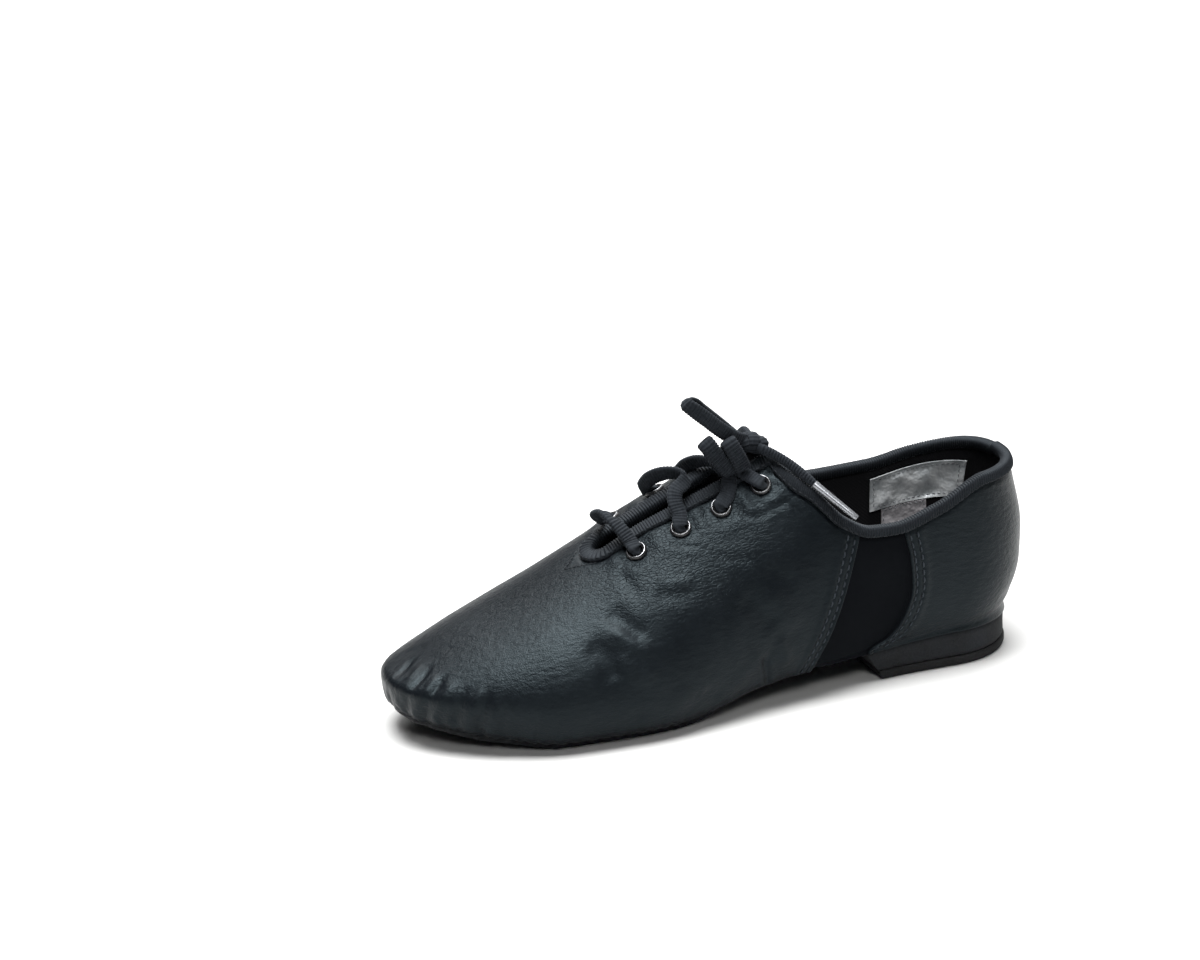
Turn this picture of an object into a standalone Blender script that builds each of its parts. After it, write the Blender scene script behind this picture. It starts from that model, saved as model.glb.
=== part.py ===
# A black lace-up jazz shoe with a split sole, the left one of a pair.
# Metres, +Z up, the toe towards -Y and the outer side of the foot towards +X.
# The origin is on the floor, under the middle of the heel.

import math

import bmesh
import bpy
import numpy as np
from mathutils import Matrix, Vector

# Driving sizes of the last
LENGTH = 0.250  # back of the heel to the tip of the toe
BALL_WIDTH = 0.0895  # widest place of the forefoot
INSTEP = 0.088  # height that the upper's rows are shares of
HEEL_SEAT = 0.0137  # floor to the upper's underside at the heel
TOE_SPRING = 0.0068  # how far the tip of the toe is lifted
BACK = 0.030  # the heel's back, measured from the origin
# Upper
WALL = 0.0016
PANEL_STEP = 0.0006  # the stretch panel lies this far under the leather
SEAM_RAISE = 0.0005  # the leather's doubled edge stands this far proud
SEAM_WIDTH = 0.0009  # the slope between the leather's edge and the panel
MARGIN = 0.012  # turned under the foot, beside the open forefoot and heel seat
THROAT_RADIUS = 0.0045  # rounded front end of the throat
THROAT_HALF = 0.0032  # half of the gap between the facings
# Sole, heel and insole
SOLE = 0.0022
SOLE_INSET = 0.0006
HEEL_LIFT = 0.0034
LIFT_PROUD = 0.0005
HEEL_INSET = 0.0006
BREAST_SLANT = 0.0050
INSOLE = 0.0022
INSOLE_PLAY = 0.0030
INSOLE_SEAT = 0.0007  # clearance over the turned-in margin, whose edge is rounded
SEAT = 0.0003  # clearance between pieces that rest on each other
# Binding
BINDING = 0.0007
BINDING_THROAT = 0.0046
BINDING_COLLAR = 0.0042
BINDING_PLAY = 0.0004
BINDING_BEHIND = 0.0008  # clearance of the leg inside the shoe
BINDING_FOLD = 0.75  # how round the fold is
BELOW_BINDING = 1.3  # the next row's depth, in widths of the binding
SLANT_LEAST = 0.6  # the binding is measured square to the edge, down to this share of a slanted line
# Eyelets
EYELET_RADIUS = 0.0040
EYELET_BORE = 0.0023
EYELET_BARREL = 0.0029
EYELET_BACK = 0.0036
EYELET_RISE = 0.0007
EYELET_PLAY = 0.0003
EYELET_INSET = 0.0098  # from the throat's edge to the middle of an eyelet
EYELET_HOLD = 0.0005  # the rolled back's height
# Laces
LACE_WIDTH = 0.0056
LACE_THICK = 0.0019
LACE_NECK = 0.0034  # the lace drawn together in an eyelet
LACE_OVER = 0.0050  # the lace's height over the leather beside an eyelet
LACE_LIE = (0, -1, -0.3)  # the way a lace's width lies, down the instep
CORD_RADIUS = 0.0019
AGLET_RADIUS = 0.0013
AGLET_LENGTH = 0.020
# Labels
LABEL = 0.0005
LABEL_PLAY = 0.0008

# Places along the shoe, shares of LENGTH from the back of the heel
THROAT_AT = 0.664
HEEL_AT = 0.130
BREAST_AT = 0.276
SOLE_BACK_AT = 0.500
WAIST_AT = (0.300, 0.520)
# Denser at the throat's corner
COLLAR_STATIONS = (0.440, 0.425, 0.416, 0.409, 0.402, 0.392, 0.377, 0.356, 0.326)
COLLAR_BEHIND = 0.46  # the collar's curve cuts the walls behind this place
THROAT_AHEAD = 0.40  # the throat's edge cuts the walls in front of this place
EYELETS_AT = (0.633, 0.566, 0.503, 0.440)

# The last's sections: widths and shifts are shares of BALL_WIDTH, heights are shares of INSTEP.
SECTION_COLUMNS = ("along", "centre", "half", "widest", "ridge", "lean", "peak")
SECTIONS = (
    (0.00, 0.000, 0.365, 0.255, 1.550, 0.000, 0.90),
    (0.12, 0.001, 0.364, 0.257, 1.550, 0.000, 0.90),
    (0.24, 0.007, 0.355, 0.236, 1.450, -0.010, 0.95),
    (0.36, 0.030, 0.368, 0.214, 1.140, -0.030, 1.05),
    (0.48, 0.036, 0.401, 0.202, 0.965, -0.050, 1.10),
    (0.58, 0.028, 0.458, 0.180, 0.840, -0.066, 1.05),
    (0.68, 0.004, 0.501, 0.158, 0.680, -0.050, 1.00),
    (0.78, -0.015, 0.494, 0.165, 0.530, -0.030, 0.95),
    (0.88, -0.034, 0.449, 0.148, 0.402, -0.020, 0.90),
    (1.00, -0.063, 0.400, 0.125, 0.285, -0.010, 0.90),
)
# The underside: rise is a share of the heel seat's height over the sole, spring of TOE_SPRING.
UNDERSIDE_COLUMNS = ("along", "rise", "spring")
UNDERSIDE = (
    (0.00, 1.00, 0.00),
    (0.12, 1.00, 0.00),
    (0.24, 0.86, 0.00),
    (0.36, 0.75, 0.00),
    (0.48, 0.50, 0.00),
    (0.56, 0.14, 0.00),
    (0.62, 0.00, 0.00),
    (0.80, 0.00, 0.00),
    (0.88, 0.14, 0.12),
    (1.00, 0.14, 1.00),
)
# How far the heel's back and the toe's front lie inside the length, by height over INSTEP
HEEL_CURVE = (
    (0, 0.045), (0.12, 0.037), (0.25, 0.012), (0.4, -0.003), (0.55, -0.005), (0.75, 0.007), (0.95, 0.025),
)
TOE_CURVE = ((0, 0.035), (0.06, 0.022), (0.14, 0.006), (0.22, 0), (1.2, 0))
# Height of the collar by place along the shoe, outer and inner side; past its end the throat cuts
COLLAR_OUTER = (
    (0, 0.845), (0.1, 0.84), (0.18, 0.745), (0.25, 0.69), (0.29, 0.697),
    (0.33, 0.755), (0.37, 0.88), (0.4, 0.955), (0.42, 1.02), (0.45, 1.2),
)
COLLAR_INNER = (
    (0, 0.845), (0.1, 0.765), (0.18, 0.73), (0.25, 0.73), (0.29, 0.735), (0.33, 0.79), (0.36, 0.875),
    (0.377, 0.925), (0.392, 0.975), (0.402, 1.016), (0.409, 1.037), (0.416, 1.045), (0.43, 1.058),
    (0.45, 1.2),
)
# The throat's middle line, a share of BALL_WIDTH beside the last's centre, and its half gap over THROAT_HALF
THROAT_LINE = ((0.3, 0.03), (0.45, 0.024), (0.55, 0.024), (0.66, 0))
THROAT_GAP = ((0.4, 1.5), (0.46, 1.3), (0.54, 1.1), (0.61, 1.0))
# The stretch panel's front and back seam: height over INSTEP, place along the shoe
FRONT_SEAM = ((0.12, 0.394), (0.18, 0.385), (0.28, 0.366), (0.43, 0.342), (0.58, 0.322), (0.7, 0.307))
REAR_SEAM = (
    (0.12, 0.302), (0.16, 0.29), (0.19, 0.266), (0.3, 0.236), (0.42, 0.225), (0.53, 0.227), (0.65, 0.235),
)
SEAM_REACH_AT = 0.55  # the sections in front of the panel lean with its seam up to here

# Ends rounded off like a superellipse: where it starts, and its power
TOE_ROUND = (0.76, 2.2)
TOE_DROP = (0.86, 2.2)
HEEL_ROUND = (0.13, 2.2)
TUCK = 0.157  # the wall comes in by this share of its half width down to the sole
DOWN_TO = -0.6  # lowest direction of the sections' rays, in radians

# How finely the walls are divided
FAN_TOE = 10
FAN_EASE = 1.35  # the toe's stations close up towards its tip
SIDE_THROAT = 8
SIDE_PANEL = 3
SIDE_HEEL = 4
FAN_HEEL = 12
PAST_SEAM = 0.018  # share of LENGTH from the rear seam to the next station
WALL_ROWS = 11
ROW_EASE = 1.35  # the wall's rows close up towards the sole
UNDER_ROWS = 2
ACROSS = 4

shoe = bpy.data.collections.new("jazz_shoe")
cutters = bpy.data.collections.new("cutters")


def monotone(table, at):
    """A smooth curve without overshoot through a table's two columns, read at each value."""
    x, y = np.array(table, float).T
    at = np.clip(np.asarray(at, float), x[0], x[-1])
    step = np.diff(x)
    rise = np.diff(y) / step
    slope = np.r_[rise[0], np.zeros(len(x) - 2), rise[-1]]
    for i in range(1, len(x) - 1):
        if rise[i - 1] * rise[i] > 0:
            before = 2 * step[i] + step[i - 1]
            after = step[i] + 2 * step[i - 1]
            slope[i] = (before + after) / (before / rise[i - 1] + after / rise[i])
    i = np.clip(np.searchsorted(x, at, side="right") - 1, 0, len(x) - 2)
    s = (at - x[i]) / step[i]
    return (
        (1 + 2 * s) * (1 - s) ** 2 * y[i]
        + s * (1 - s) ** 2 * step[i] * slope[i]
        + s * s * (3 - 2 * s) * y[i + 1]
        + s * s * (s - 1) * step[i] * slope[i + 1]
    )


def column(rows, names, name, at):
    """One named column of a table of sections, read at each place along the shoe."""
    k = names.index(name)
    return monotone([(row[0], row[k]) for row in rows], at)


def smooth(s):
    s = np.clip(s, 0, 1)
    return s * s * (3 - 2 * s)


def rounded(s, power):
    return (1 - np.clip(s, 0, 1) ** power) ** (1 / power)


def underside(at):
    """Height of the upper's underside."""
    base = SOLE + SEAT
    rise = column(UNDERSIDE, UNDERSIDE_COLUMNS, "rise", at)
    spring = column(UNDERSIDE, UNDERSIDE_COLUMNS, "spring", at)
    return base + rise * (HEEL_SEAT - base) + spring * TOE_SPRING


def floor_line(at):
    """Height of the upper's underside at a place along the shoe, with the curved toe and heel."""
    z = np.full(np.shape(at), SOLE)
    for _ in range(8):
        z = underside(place_along(BACK - at * LENGTH, z))
    return z


def section(at):
    """Centre, half width, underside, widest height, ridge height, lean and peak of a section."""
    at = np.clip(at, 0, 1)
    read = {name: column(SECTIONS, SECTION_COLUMNS, name, at) for name in SECTION_COLUMNS[1:]}
    toe = rounded((at - TOE_ROUND[0]) / (1 - TOE_ROUND[0]), TOE_ROUND[1])
    heel = rounded((HEEL_ROUND[0] - at) / HEEL_ROUND[0], HEEL_ROUND[1])
    drop = rounded((at - TOE_DROP[0]) / (1 - TOE_DROP[0]), TOE_DROP[1])
    bottom = underside(at)
    widest = bottom + read["widest"] * INSTEP
    ridge = widest + (read["ridge"] * INSTEP - widest) * drop
    half = read["half"] * BALL_WIDTH * toe * heel
    return read["centre"] * BALL_WIDTH, half, bottom, widest, ridge, read["lean"] * BALL_WIDTH, read["peak"]


def place_along(y, z):
    """Place along the shoe of a point, with the heel's back and the toe's front curved by height."""
    at = (BACK - y) / LENGTH
    heel = monotone(HEEL_CURVE, z / INSTEP) * smooth(1 - at / 0.35)
    toe = monotone(TOE_CURVE, z / INSTEP) * smooth((at - 0.72) / 0.28)
    return at - heel + toe


def outside(p):
    """How far a point lies outside the last, roughly; negative inside."""
    x, y, z = p[..., 0], p[..., 1], p[..., 2]
    at = place_along(y, z)
    centre, half, bottom, widest, ridge, lean, peak = section(at)
    up = np.clip((z - widest) / np.maximum(ridge - widest, 1e-6), 0, None)
    down = np.clip((widest - z) / np.maximum(widest - bottom, 1e-6), 0, None)
    above = half * np.clip(1 - up * up, 0, 1) ** (peak / 2)
    below = half * (1 - TUCK * (1 - np.sqrt(np.clip(1 - down * down, 0, 1))))
    over = np.abs(x - centre - lean * np.minimum(up, 1) ** 2) - np.where(z > widest, above, below)
    past = np.maximum(up - 1, 0) + np.maximum(down - 1, 0)
    return over + 0.1 * past + LENGTH * (np.maximum(at - 1, 0) + np.maximum(-at, 0))


def stations():
    """Rows of place along the shoe, direction in plan (0 is -Y, 90 is +X), pull of the panel's
    front and rear seam, and relief, in a ring from the toe round the outer side."""
    front, rear = FRONT_SEAM[-1][1], REAR_SEAM[-1][1]
    slope = SEAM_WIDTH / LENGTH
    side = []
    for i in range(SIDE_THROAT):
        side.append((THROAT_AT + (COLLAR_STATIONS[0] - THROAT_AT) * i / SIDE_THROAT, 0, 0))
    side += [(at, 0, 0) for at in COLLAR_STATIONS]
    side = [(at, smooth((SEAM_REACH_AT - at) / (SEAM_REACH_AT - front)), 0, 0) for at, _, _ in side]
    side.append((front, 1, 0, SEAM_RAISE))
    for i in range(SIDE_PANEL + 1):
        share = i / SIDE_PANEL
        at = front - slope + (rear - front + 2 * slope) * share
        side.append((at, 1 - share, share, -PANEL_STEP))
    side.append((rear, 0, 1, SEAM_RAISE))
    for i in range(SIDE_HEEL):
        at = rear - PAST_SEAM + (HEEL_AT - rear + PAST_SEAM) * i / SIDE_HEEL
        side.append((at, 0, smooth((at - HEEL_AT) / (rear - HEEL_AT)), 0))
    fan = [90 * (i / FAN_TOE) ** FAN_EASE for i in range(FAN_TOE)]
    ring = [(THROAT_AT, turn, 0, 0, 0) for turn in fan]
    ring += [(at, 90, f, r, relief) for at, f, r, relief in side]
    ring += [(HEEL_AT, 90 + 180 * i / FAN_HEEL, 0, 0, 0) for i in range(FAN_HEEL + 1)]
    ring += [(at, 270, f, r, relief) for at, f, r, relief in reversed(side[1:])]
    ring += [(THROAT_AT, 270, 0, 0, 0)]
    ring += [(THROAT_AT, 360 - turn, 0, 0, 0) for turn in reversed(fan[1:])]
    return np.array(ring)


def throat_line(at):
    """X of the throat's middle line."""
    beside = monotone(THROAT_LINE, at) * smooth((at - 0.2) / 0.15)
    return (column(SECTIONS, SECTION_COLUMNS, "centre", at) + beside) * BALL_WIDTH


def throat_half(at):
    half = THROAT_HALF * monotone(THROAT_GAP, at)
    return half + (THROAT_RADIUS - half) * smooth((at - THROAT_GAP[-1][0]) / (THROAT_AT - THROAT_GAP[-1][0]))


def wall_lines(ring, fine=72):
    """The last's surface in each station, from the underside up to the collar's or throat's edge."""
    turn = np.radians(ring[:, 1])[:, None]
    lift = np.linspace(DOWN_TO, math.pi / 2, fine)[None, :]
    way = np.stack([np.sin(turn) * np.cos(lift), -np.cos(turn) * np.cos(lift), np.sin(lift) + 0 * turn], -1)
    height = np.full((len(ring), fine), 0.4)
    for _ in range(4):
        at = ring[:, :1] + ring[:, 2:3] * (monotone(FRONT_SEAM, height) - FRONT_SEAM[-1][1])
        at = at + ring[:, 3:4] * (monotone(REAR_SEAM, height) - REAR_SEAM[-1][1])
        start = np.stack([throat_line(at), BACK - at * LENGTH, section(at)[3]], -1)
        near, far = np.zeros(at.shape), np.full(at.shape, LENGTH)
        for _ in range(30):
            middle = (near + far) / 2
            inner = outside(start + way * middle[..., None]) < 0
            near, far = np.where(inner, middle, near), np.where(inner, far, middle)
        points = start + way * near[..., None]
        height = points[..., 2] / INSTEP
    lines = []
    for i, line in enumerate(points):
        at = (BACK - line[:, 1]) / LENGTH
        collar = monotone(COLLAR_OUTER if ring[i, 1] <= 180 else COLLAR_INNER, at) * INSTEP
        over = np.where(ring[i, 0] < COLLAR_BEHIND, line[:, 2] - collar, -1.0)
        if ring[i, 0] > THROAT_AHEAD:
            away = np.hypot(line[:, 0] - start[i, :, 0], line[:, 1] - start[i, :, 1])
            over = np.maximum(over, throat_half(ring[i, 0]) - away)
        low = line[:, 2] - underside(place_along(line[:, 1], line[:, 2]))
        first = int(np.argmax(low > 0))
        last = int(np.argmax((over > 0) & (np.arange(fine) > fine // 4)))
        share = over[last - 1] / (over[last - 1] - over[last])
        foot = low[first - 1] / (low[first - 1] - low[first])
        ends = [line[first - 1] + (line[first] - line[first - 1]) * foot]
        ends.append(line[last - 1] + (line[last] - line[last - 1]) * share)
        lines.append(np.vstack([ends[:1], line[first:last], ends[1:]]))
    return lines


def read_line(line, depths):
    """Points of a line at depths measured down from its top end."""
    line = line[::-1]
    run = np.r_[0, np.cumsum(np.linalg.norm(np.diff(line, axis=0), axis=1))]
    depths = np.asarray(depths) if np.ndim(depths) else np.array([depths])
    return np.stack([np.interp(depths, run, line[:, k]) for k in range(3)], -1), run[-1]


def unit(v):
    return v / np.maximum(np.linalg.norm(v, axis=-1, keepdims=True), 1e-12)


def binding_width(ring):
    """Width of the binding's legs in each station, wider round the collar than along the throat."""
    return BINDING_COLLAR + (BINDING_THROAT - BINDING_COLLAR) * smooth((ring[:, 0] - 0.33) / 0.1)


def wall_grid(ring):
    """Points [station][row] from the top edge down to the sole; row 1 is the binding's lower edge."""
    lines = wall_lines(ring)
    edge = np.array([line[-1] for line in lines])
    below = np.array([read_line(line, BINDING_COLLAR)[0][0] for line in lines])
    along = unit(np.roll(edge, -1, 0) - np.roll(edge, 1, 0))
    square = np.linalg.norm(np.cross(unit(edge - below), along), axis=-1)
    depth = binding_width(ring) / np.clip(square, SLANT_LEAST, 1)
    rows = []
    for line, first in zip(lines, depth):
        whole = read_line(line, 0.0)[1]
        second = max(EYELET_INSET, first * BELOW_BINDING)
        third = second + EYELET_INSET - BINDING_THROAT
        share = np.linspace(0, 1, WALL_ROWS - 3)
        rest = third + (whole - third) * (1 - (1 - share) ** ROW_EASE)
        rows.append(read_line(line, np.r_[0, first, second, rest])[0])
    return np.array(rows)


def normals(grid):
    """Directions away from the foot at each point of a closed ring of lines."""
    along = np.roll(grid, -1, 0) - np.roll(grid, 1, 0)
    down = np.gradient(grid, axis=1)
    return unit(np.cross(down, along))


def dressed_grid(ring):
    """The wall with the panel's step and the doubled seams, which fade out above the sole."""
    grid = wall_grid(ring)
    above = grid[..., 2] - grid[:, -1:, 2]
    relief = ring[:, 4][:, None] * smooth((above - 0.001) / 0.005)
    relief[:, :2] = 0
    return grid + normals(grid) * relief[..., None]


def inner_targets(ring, foot):
    """Where each station's line under the foot would meet the one across the shoe, in plan."""
    at = (BACK - foot[:, 1]) / LENGTH
    middle = np.stack([column(SECTIONS, SECTION_COLUMNS, "centre", at) * BALL_WIDTH, foot[:, 1]], -1)
    fan = (ring[:, 0] == THROAT_AT) | (ring[:, 0] == HEEL_AT)
    middle[fan] = np.stack([throat_line(ring[fan, 0]), BACK - ring[fan, 0] * LENGTH], -1)
    return middle


def under_rows(ring, grid):
    """Rows under the foot: a margin, and the whole width between forefoot and heel seat."""
    foot = grid[:, -1]
    at = (BACK - foot[:, 1]) / LENGTH
    middle = inner_targets(ring, foot)
    reach = np.linalg.norm(middle - foot[:, :2], axis=1)
    closed = smooth((at - WAIST_AT[0] + 0.05) / 0.05) * smooth((WAIST_AT[1] + 0.05 - at) / 0.05)
    share = MARGIN / reach + (1 - MARGIN / reach) * closed
    rows = []
    for k in range(1, UNDER_ROWS + 1):
        part = share * k / UNDER_ROWS
        xy = foot[:, :2] + (middle - foot[:, :2]) * part[:, None]
        z = floor_line((BACK - xy[:, 1]) / LENGTH)
        rows.append(np.concatenate([xy, z[:, None]], 1))
    return np.stack(rows, 1), share


def partner(i, ring):
    """The station across the shoe."""
    return (len(ring) - i) % len(ring)


def link(obj, collection=None):
    (collection or shoe).objects.link(obj)
    return obj


def mesh_object(name, bm, collection=None):
    mesh = bpy.data.meshes.new(name)
    bm.to_mesh(mesh)
    bm.free()
    return link(bpy.data.objects.new(name, mesh), collection)


def shade(obj, angle=40):
    obj.data.shade_smooth()
    obj.data.set_sharp_from_angle(angle=math.radians(angle))


def paint(obj, name, colour, roughness, metallic=0.0):
    """Gives the object a Principled material, made once for each name."""
    material = bpy.data.materials.get(name) or bpy.data.materials.new(name)
    material.use_nodes = True
    bsdf = material.node_tree.nodes["Principled BSDF"]
    bsdf.inputs["Base Color"].default_value = (*colour, 1)
    bsdf.inputs["Roughness"].default_value = roughness
    bsdf.inputs["Metallic"].default_value = metallic
    obj.data.materials.append(material)
    return obj


def leather(obj):
    return paint(obj, "leather", (0.020, 0.024, 0.030), 0.42)


def rubber(obj):
    return paint(obj, "sole_rubber", (0.014, 0.015, 0.017), 0.75)


def tape(obj):
    return paint(obj, "woven_tape", (0.012, 0.013, 0.016), 0.85)


def metal(obj):
    return paint(obj, "black_metal", (0.03, 0.03, 0.032), 0.3, 1.0)


def smooth_route(points, count):
    """Points at even distances along a smooth curve through a few chosen ones."""
    points = np.array(points, float)
    ends = [2 * points[0] - points[1], 2 * points[-1] - points[-2]]
    p = np.vstack([ends[:1], points, ends[1:]])
    s = np.linspace(0, 1, 12, endpoint=False)[:, None]
    dense = []
    for a, b, c, d in zip(p[:-3], p[1:-2], p[2:-1], p[3:]):
        bend, twist = 2 * a - 5 * b + 4 * c - d, 3 * b - a - 3 * c + d
        dense.append(b + 0.5 * ((c - a) * s + bend * s**2 + twist * s**3))
    dense = np.vstack(dense + [points[-1:]])
    run = np.r_[0, np.cumsum(np.linalg.norm(np.diff(dense, axis=0), axis=1))]
    at = np.linspace(0, run[-1], count)
    return np.stack([np.interp(at, run, dense[:, k]) for k in range(3)], -1)


def close_rows(bm, rows, cap=True, around=True):
    """Joins rows of vertices with faces, and closes the first and last row."""
    count = len(rows[0])
    for a, b in zip(rows[:-1], rows[1:]):
        for k in range(count if around else count - 1):
            n = (k + 1) % count
            bm.faces.new((a[k], a[n], b[n], b[k]))
    if cap:
        bm.faces.new(list(reversed(rows[0])))
        bm.faces.new(rows[-1])


def upper():
    """The leather upper: one shell, open at the collar, the throat and under forefoot and heel seat."""
    ring = stations()
    wall = dressed_grid(ring)
    under, share = under_rows(ring, wall)
    bm = bmesh.new()
    count = len(ring)
    made = {}
    for i in range(count):
        for r, p in enumerate(np.vstack([wall[i], under[i]])):
            zipped = r == WALL_ROWS + UNDER_ROWS - 1 and share[i] > 0.999 and 0 < i < count
            other = partner(i, ring)
            if zipped and (other, r) in made:
                made[i, r] = made[other, r]
            else:
                made[i, r] = bm.verts.new(p)
    for i in range(count):
        n = (i + 1) % count
        for r in range(WALL_ROWS + UNDER_ROWS - 1):
            face = (made[i, r], made[n, r], made[n, r + 1], made[i, r + 1])
            bm.faces.new(tuple(dict.fromkeys(face)))
    bm.normal_update()
    facing = 0
    for face in bm.faces:
        away = face.calc_center_median() - Vector((0, 0, INSTEP / 3))
        away.y = 0
        facing += face.normal.dot(away)
    if facing < 0:
        bmesh.ops.reverse_faces(bm, faces=bm.faces)
    obj = leather(mesh_object("upper", bm))
    shell = obj.modifiers.new("wall", "SOLIDIFY")
    shell.thickness = WALL
    shell.offset = -1
    shell.use_even_offset = True
    for k, (middle, normal, _) in enumerate(eyelet_seats()):
        cutter = eyelet_cutter(f"eyelet_hole_{k + 1}", middle, normal)
        cut = obj.modifiers.new(f"hole_{k + 1}", "BOOLEAN")
        cut.operation = "DIFFERENCE"
        cut.object = cutter
    shade(obj, 50)


def binding():
    """Tape folded over the edge of collar and throat, as one ring."""
    ring = stations()
    grid = dressed_grid(ring)
    out = normals(grid)
    edge, low = grid[:, 0], grid[:, 1]
    at_edge, at_low = out[:, 0], out[:, 1]
    up = unit(edge - low)
    near = BINDING_PLAY
    far = BINDING_PLAY + BINDING
    inside = WALL + BINDING_BEHIND - BINDING_PLAY
    rows = [
        low + at_low * near,
        low + at_low * far,
        edge + at_edge * far,
        edge + (at_edge + up) * far * BINDING_FOLD,
        edge - at_edge * WALL / 2 + up * far,
        edge - at_edge * WALL + (up - at_edge) * far * BINDING_FOLD,
        edge - at_edge * (inside + far),
        low - at_low * (inside + far),
        low - at_low * (inside + near),
        edge - at_edge * (inside + near),
        edge - at_edge * WALL / 2 + up * near,
        edge + at_edge * near,
    ]
    rows = np.stack(rows, 1)
    bm = bmesh.new()
    loops = [[bm.verts.new(p) for p in row] for row in rows]
    close_rows(bm, loops + loops[:1], cap=False)
    bmesh.ops.recalc_face_normals(bm, faces=bm.faces)
    shade(tape(mesh_object("binding", bm)), 50)


def across_rows(starts, ends, count=ACROSS):
    """A grid of points between matching points of the outer and inner side."""
    share = np.linspace(0, 1, count + 1)[None, :, None]
    return starts[:, None] + (ends - starts)[:, None] * share


def foot_outline(first, last, inset):
    """Matching points of the sole's outer and inner edge between two places along the shoe."""
    ring = stations()
    ring[:, 4] = 0
    foot = wall_grid(ring)[:, -1]
    foot[:, :2] += unit(inner_targets(ring, foot) - foot[:, :2]) * inset
    half = len(ring) // 2
    pairs = [(foot[i], foot[partner(i, ring)]) for i in range(half + 1)]
    kept = []
    for outer, inner in pairs:
        at = (BACK - outer[1]) / LENGTH
        width = np.linalg.norm(outer - inner)
        if first <= at <= last and width > WALL:
            kept.append((outer, inner))
    return np.array([k[0] for k in kept]), np.array([k[1] for k in kept])


def rim(rows):
    """The outer vertices of a grid, in order round it."""
    between = rows[1:-1]
    return rows[0] + [row[-1] for row in between] + rows[-1][::-1] + [row[0] for row in reversed(between)]


def slab(name, top, bottom, smooth_angle=35):
    """A closed solid between two grids of points with the same rows."""
    bm = bmesh.new()
    upper_rows = [[bm.verts.new(p) for p in row] for row in top]
    lower_rows = [[bm.verts.new(p) for p in row] for row in bottom]
    close_rows(bm, upper_rows, cap=False, around=False)
    close_rows(bm, [list(reversed(row)) for row in lower_rows], cap=False, around=False)
    a, b = rim(upper_rows), rim(lower_rows)
    for k in range(len(a)):
        n = (k + 1) % len(a)
        bm.faces.new((a[k], b[k], b[n], a[n]))
    bmesh.ops.recalc_face_normals(bm, faces=bm.faces)
    obj = mesh_object(name, bm)
    shade(obj, smooth_angle)
    return obj


def level(grid, height):
    """A grid laid at a height, or at each point's own height from a function of its place along."""
    grid = grid.copy()
    if callable(height):
        grid[..., 2] = height((BACK - grid[..., 1]) / LENGTH)
    else:
        grid[..., 2] = height
    return grid


def rounded_end(outer, inner, at_end, length):
    """Draws the two edges together in a rounded end."""
    at = (BACK - outer[:, 1]) / LENGTH
    keep = rounded(1 - (at - at_end) / length, 2.4)[:, None]
    middle = (outer + inner) / 2
    return middle + (outer - middle) * keep, middle + (inner - middle) * keep


def outsole():
    """The forefoot's own thin sole, rounded under the arch and turned up at the toe."""
    outer, inner = foot_outline(SOLE_BACK_AT, 1.0, SOLE_INSET)
    outer, inner = rounded_end(outer, inner, SOLE_BACK_AT - 0.01, 0.10)
    grid = across_rows(outer, inner)
    top = level(grid, lambda at: floor_line(at) - SEAT)
    bottom = level(grid, lambda at: floor_line(at) - SEAT - SOLE)
    rubber(slab("outsole_forefoot", top, bottom))


def insole():
    """The insole, lying on the turned-in margin."""
    outer, inner = foot_outline(0.0, 1.0, INSOLE_PLAY)
    grid = across_rows(outer, inner)
    low = WALL + INSOLE_SEAT
    top = level(grid, lambda at: floor_line(at) + low + INSOLE)
    bottom = level(grid, lambda at: floor_line(at) + low)
    paint(slab("insole", top, bottom), "insole_cloth", (0.02, 0.02, 0.022), 0.9)


def heel_grid(breast, inset):
    """Rows from the breast back round the heel."""
    outer, inner = foot_outline(0.0, BREAST_AT - 0.02, inset)
    front = np.array([outer[0], inner[0]])
    front[:, 1] = BACK - breast * LENGTH
    return across_rows(np.vstack([front[:1], outer]), np.vstack([front[1:], inner]))


def heel():
    """The heel block, with a slanted breast and a top that follows the seat, and its worn layer."""
    slant = BREAST_SLANT / LENGTH
    top = level(heel_grid(BREAST_AT + slant, HEEL_INSET), lambda at: floor_line(at) - SEAT)
    bottom = level(heel_grid(BREAST_AT, HEEL_INSET), HEEL_LIFT + SEAT)
    rubber(slab("heel_block", top, bottom))
    share = HEEL_LIFT / HEEL_SEAT
    top = level(heel_grid(BREAST_AT - slant * share / 3, HEEL_INSET - LIFT_PROUD), HEEL_LIFT)
    bottom = level(heel_grid(BREAST_AT - slant * share, HEEL_INSET - LIFT_PROUD), 0.0)
    rubber(slab("heel_lift", top, bottom))


def surface_normal(p, step=0.0005):
    """Direction away from the last at a point of its surface."""
    shifts = np.eye(3) * step
    return unit(np.array([outside(p + s) - outside(p - s) for s in shifts]))


def eyelet_seats():
    """Middle, direction and side of each eyelet, the outer row first, from the toe back."""
    seats = []
    for turn in (90, 270):
        ring = np.array([(at, turn, 0, 0, 0) for at in EYELETS_AT], float)
        for line in wall_lines(ring):
            p = read_line(line, EYELET_INSET)[0][0]
            seats.append((p, surface_normal(p), 1 if turn == 90 else -1))
    return seats


def pose(obj, middle, normal):
    """Stands an object made along +Z on a point of the surface."""
    turn = Vector(normal).to_track_quat("Z", "Y").to_matrix().to_4x4()
    obj.matrix_world = Matrix.Translation(Vector(middle)) @ turn
    return obj


def eyelet_cutter(name, middle, normal):
    bm = bmesh.new()
    radius = EYELET_BARREL + EYELET_PLAY
    bmesh.ops.create_cone(bm, cap_ends=True, segments=18, radius1=radius, radius2=radius, depth=8 * WALL)
    obj = pose(mesh_object(name, bm, cutters), middle, normal)
    obj.hide_render = True
    obj.display_type = "WIRE"
    return obj


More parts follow.
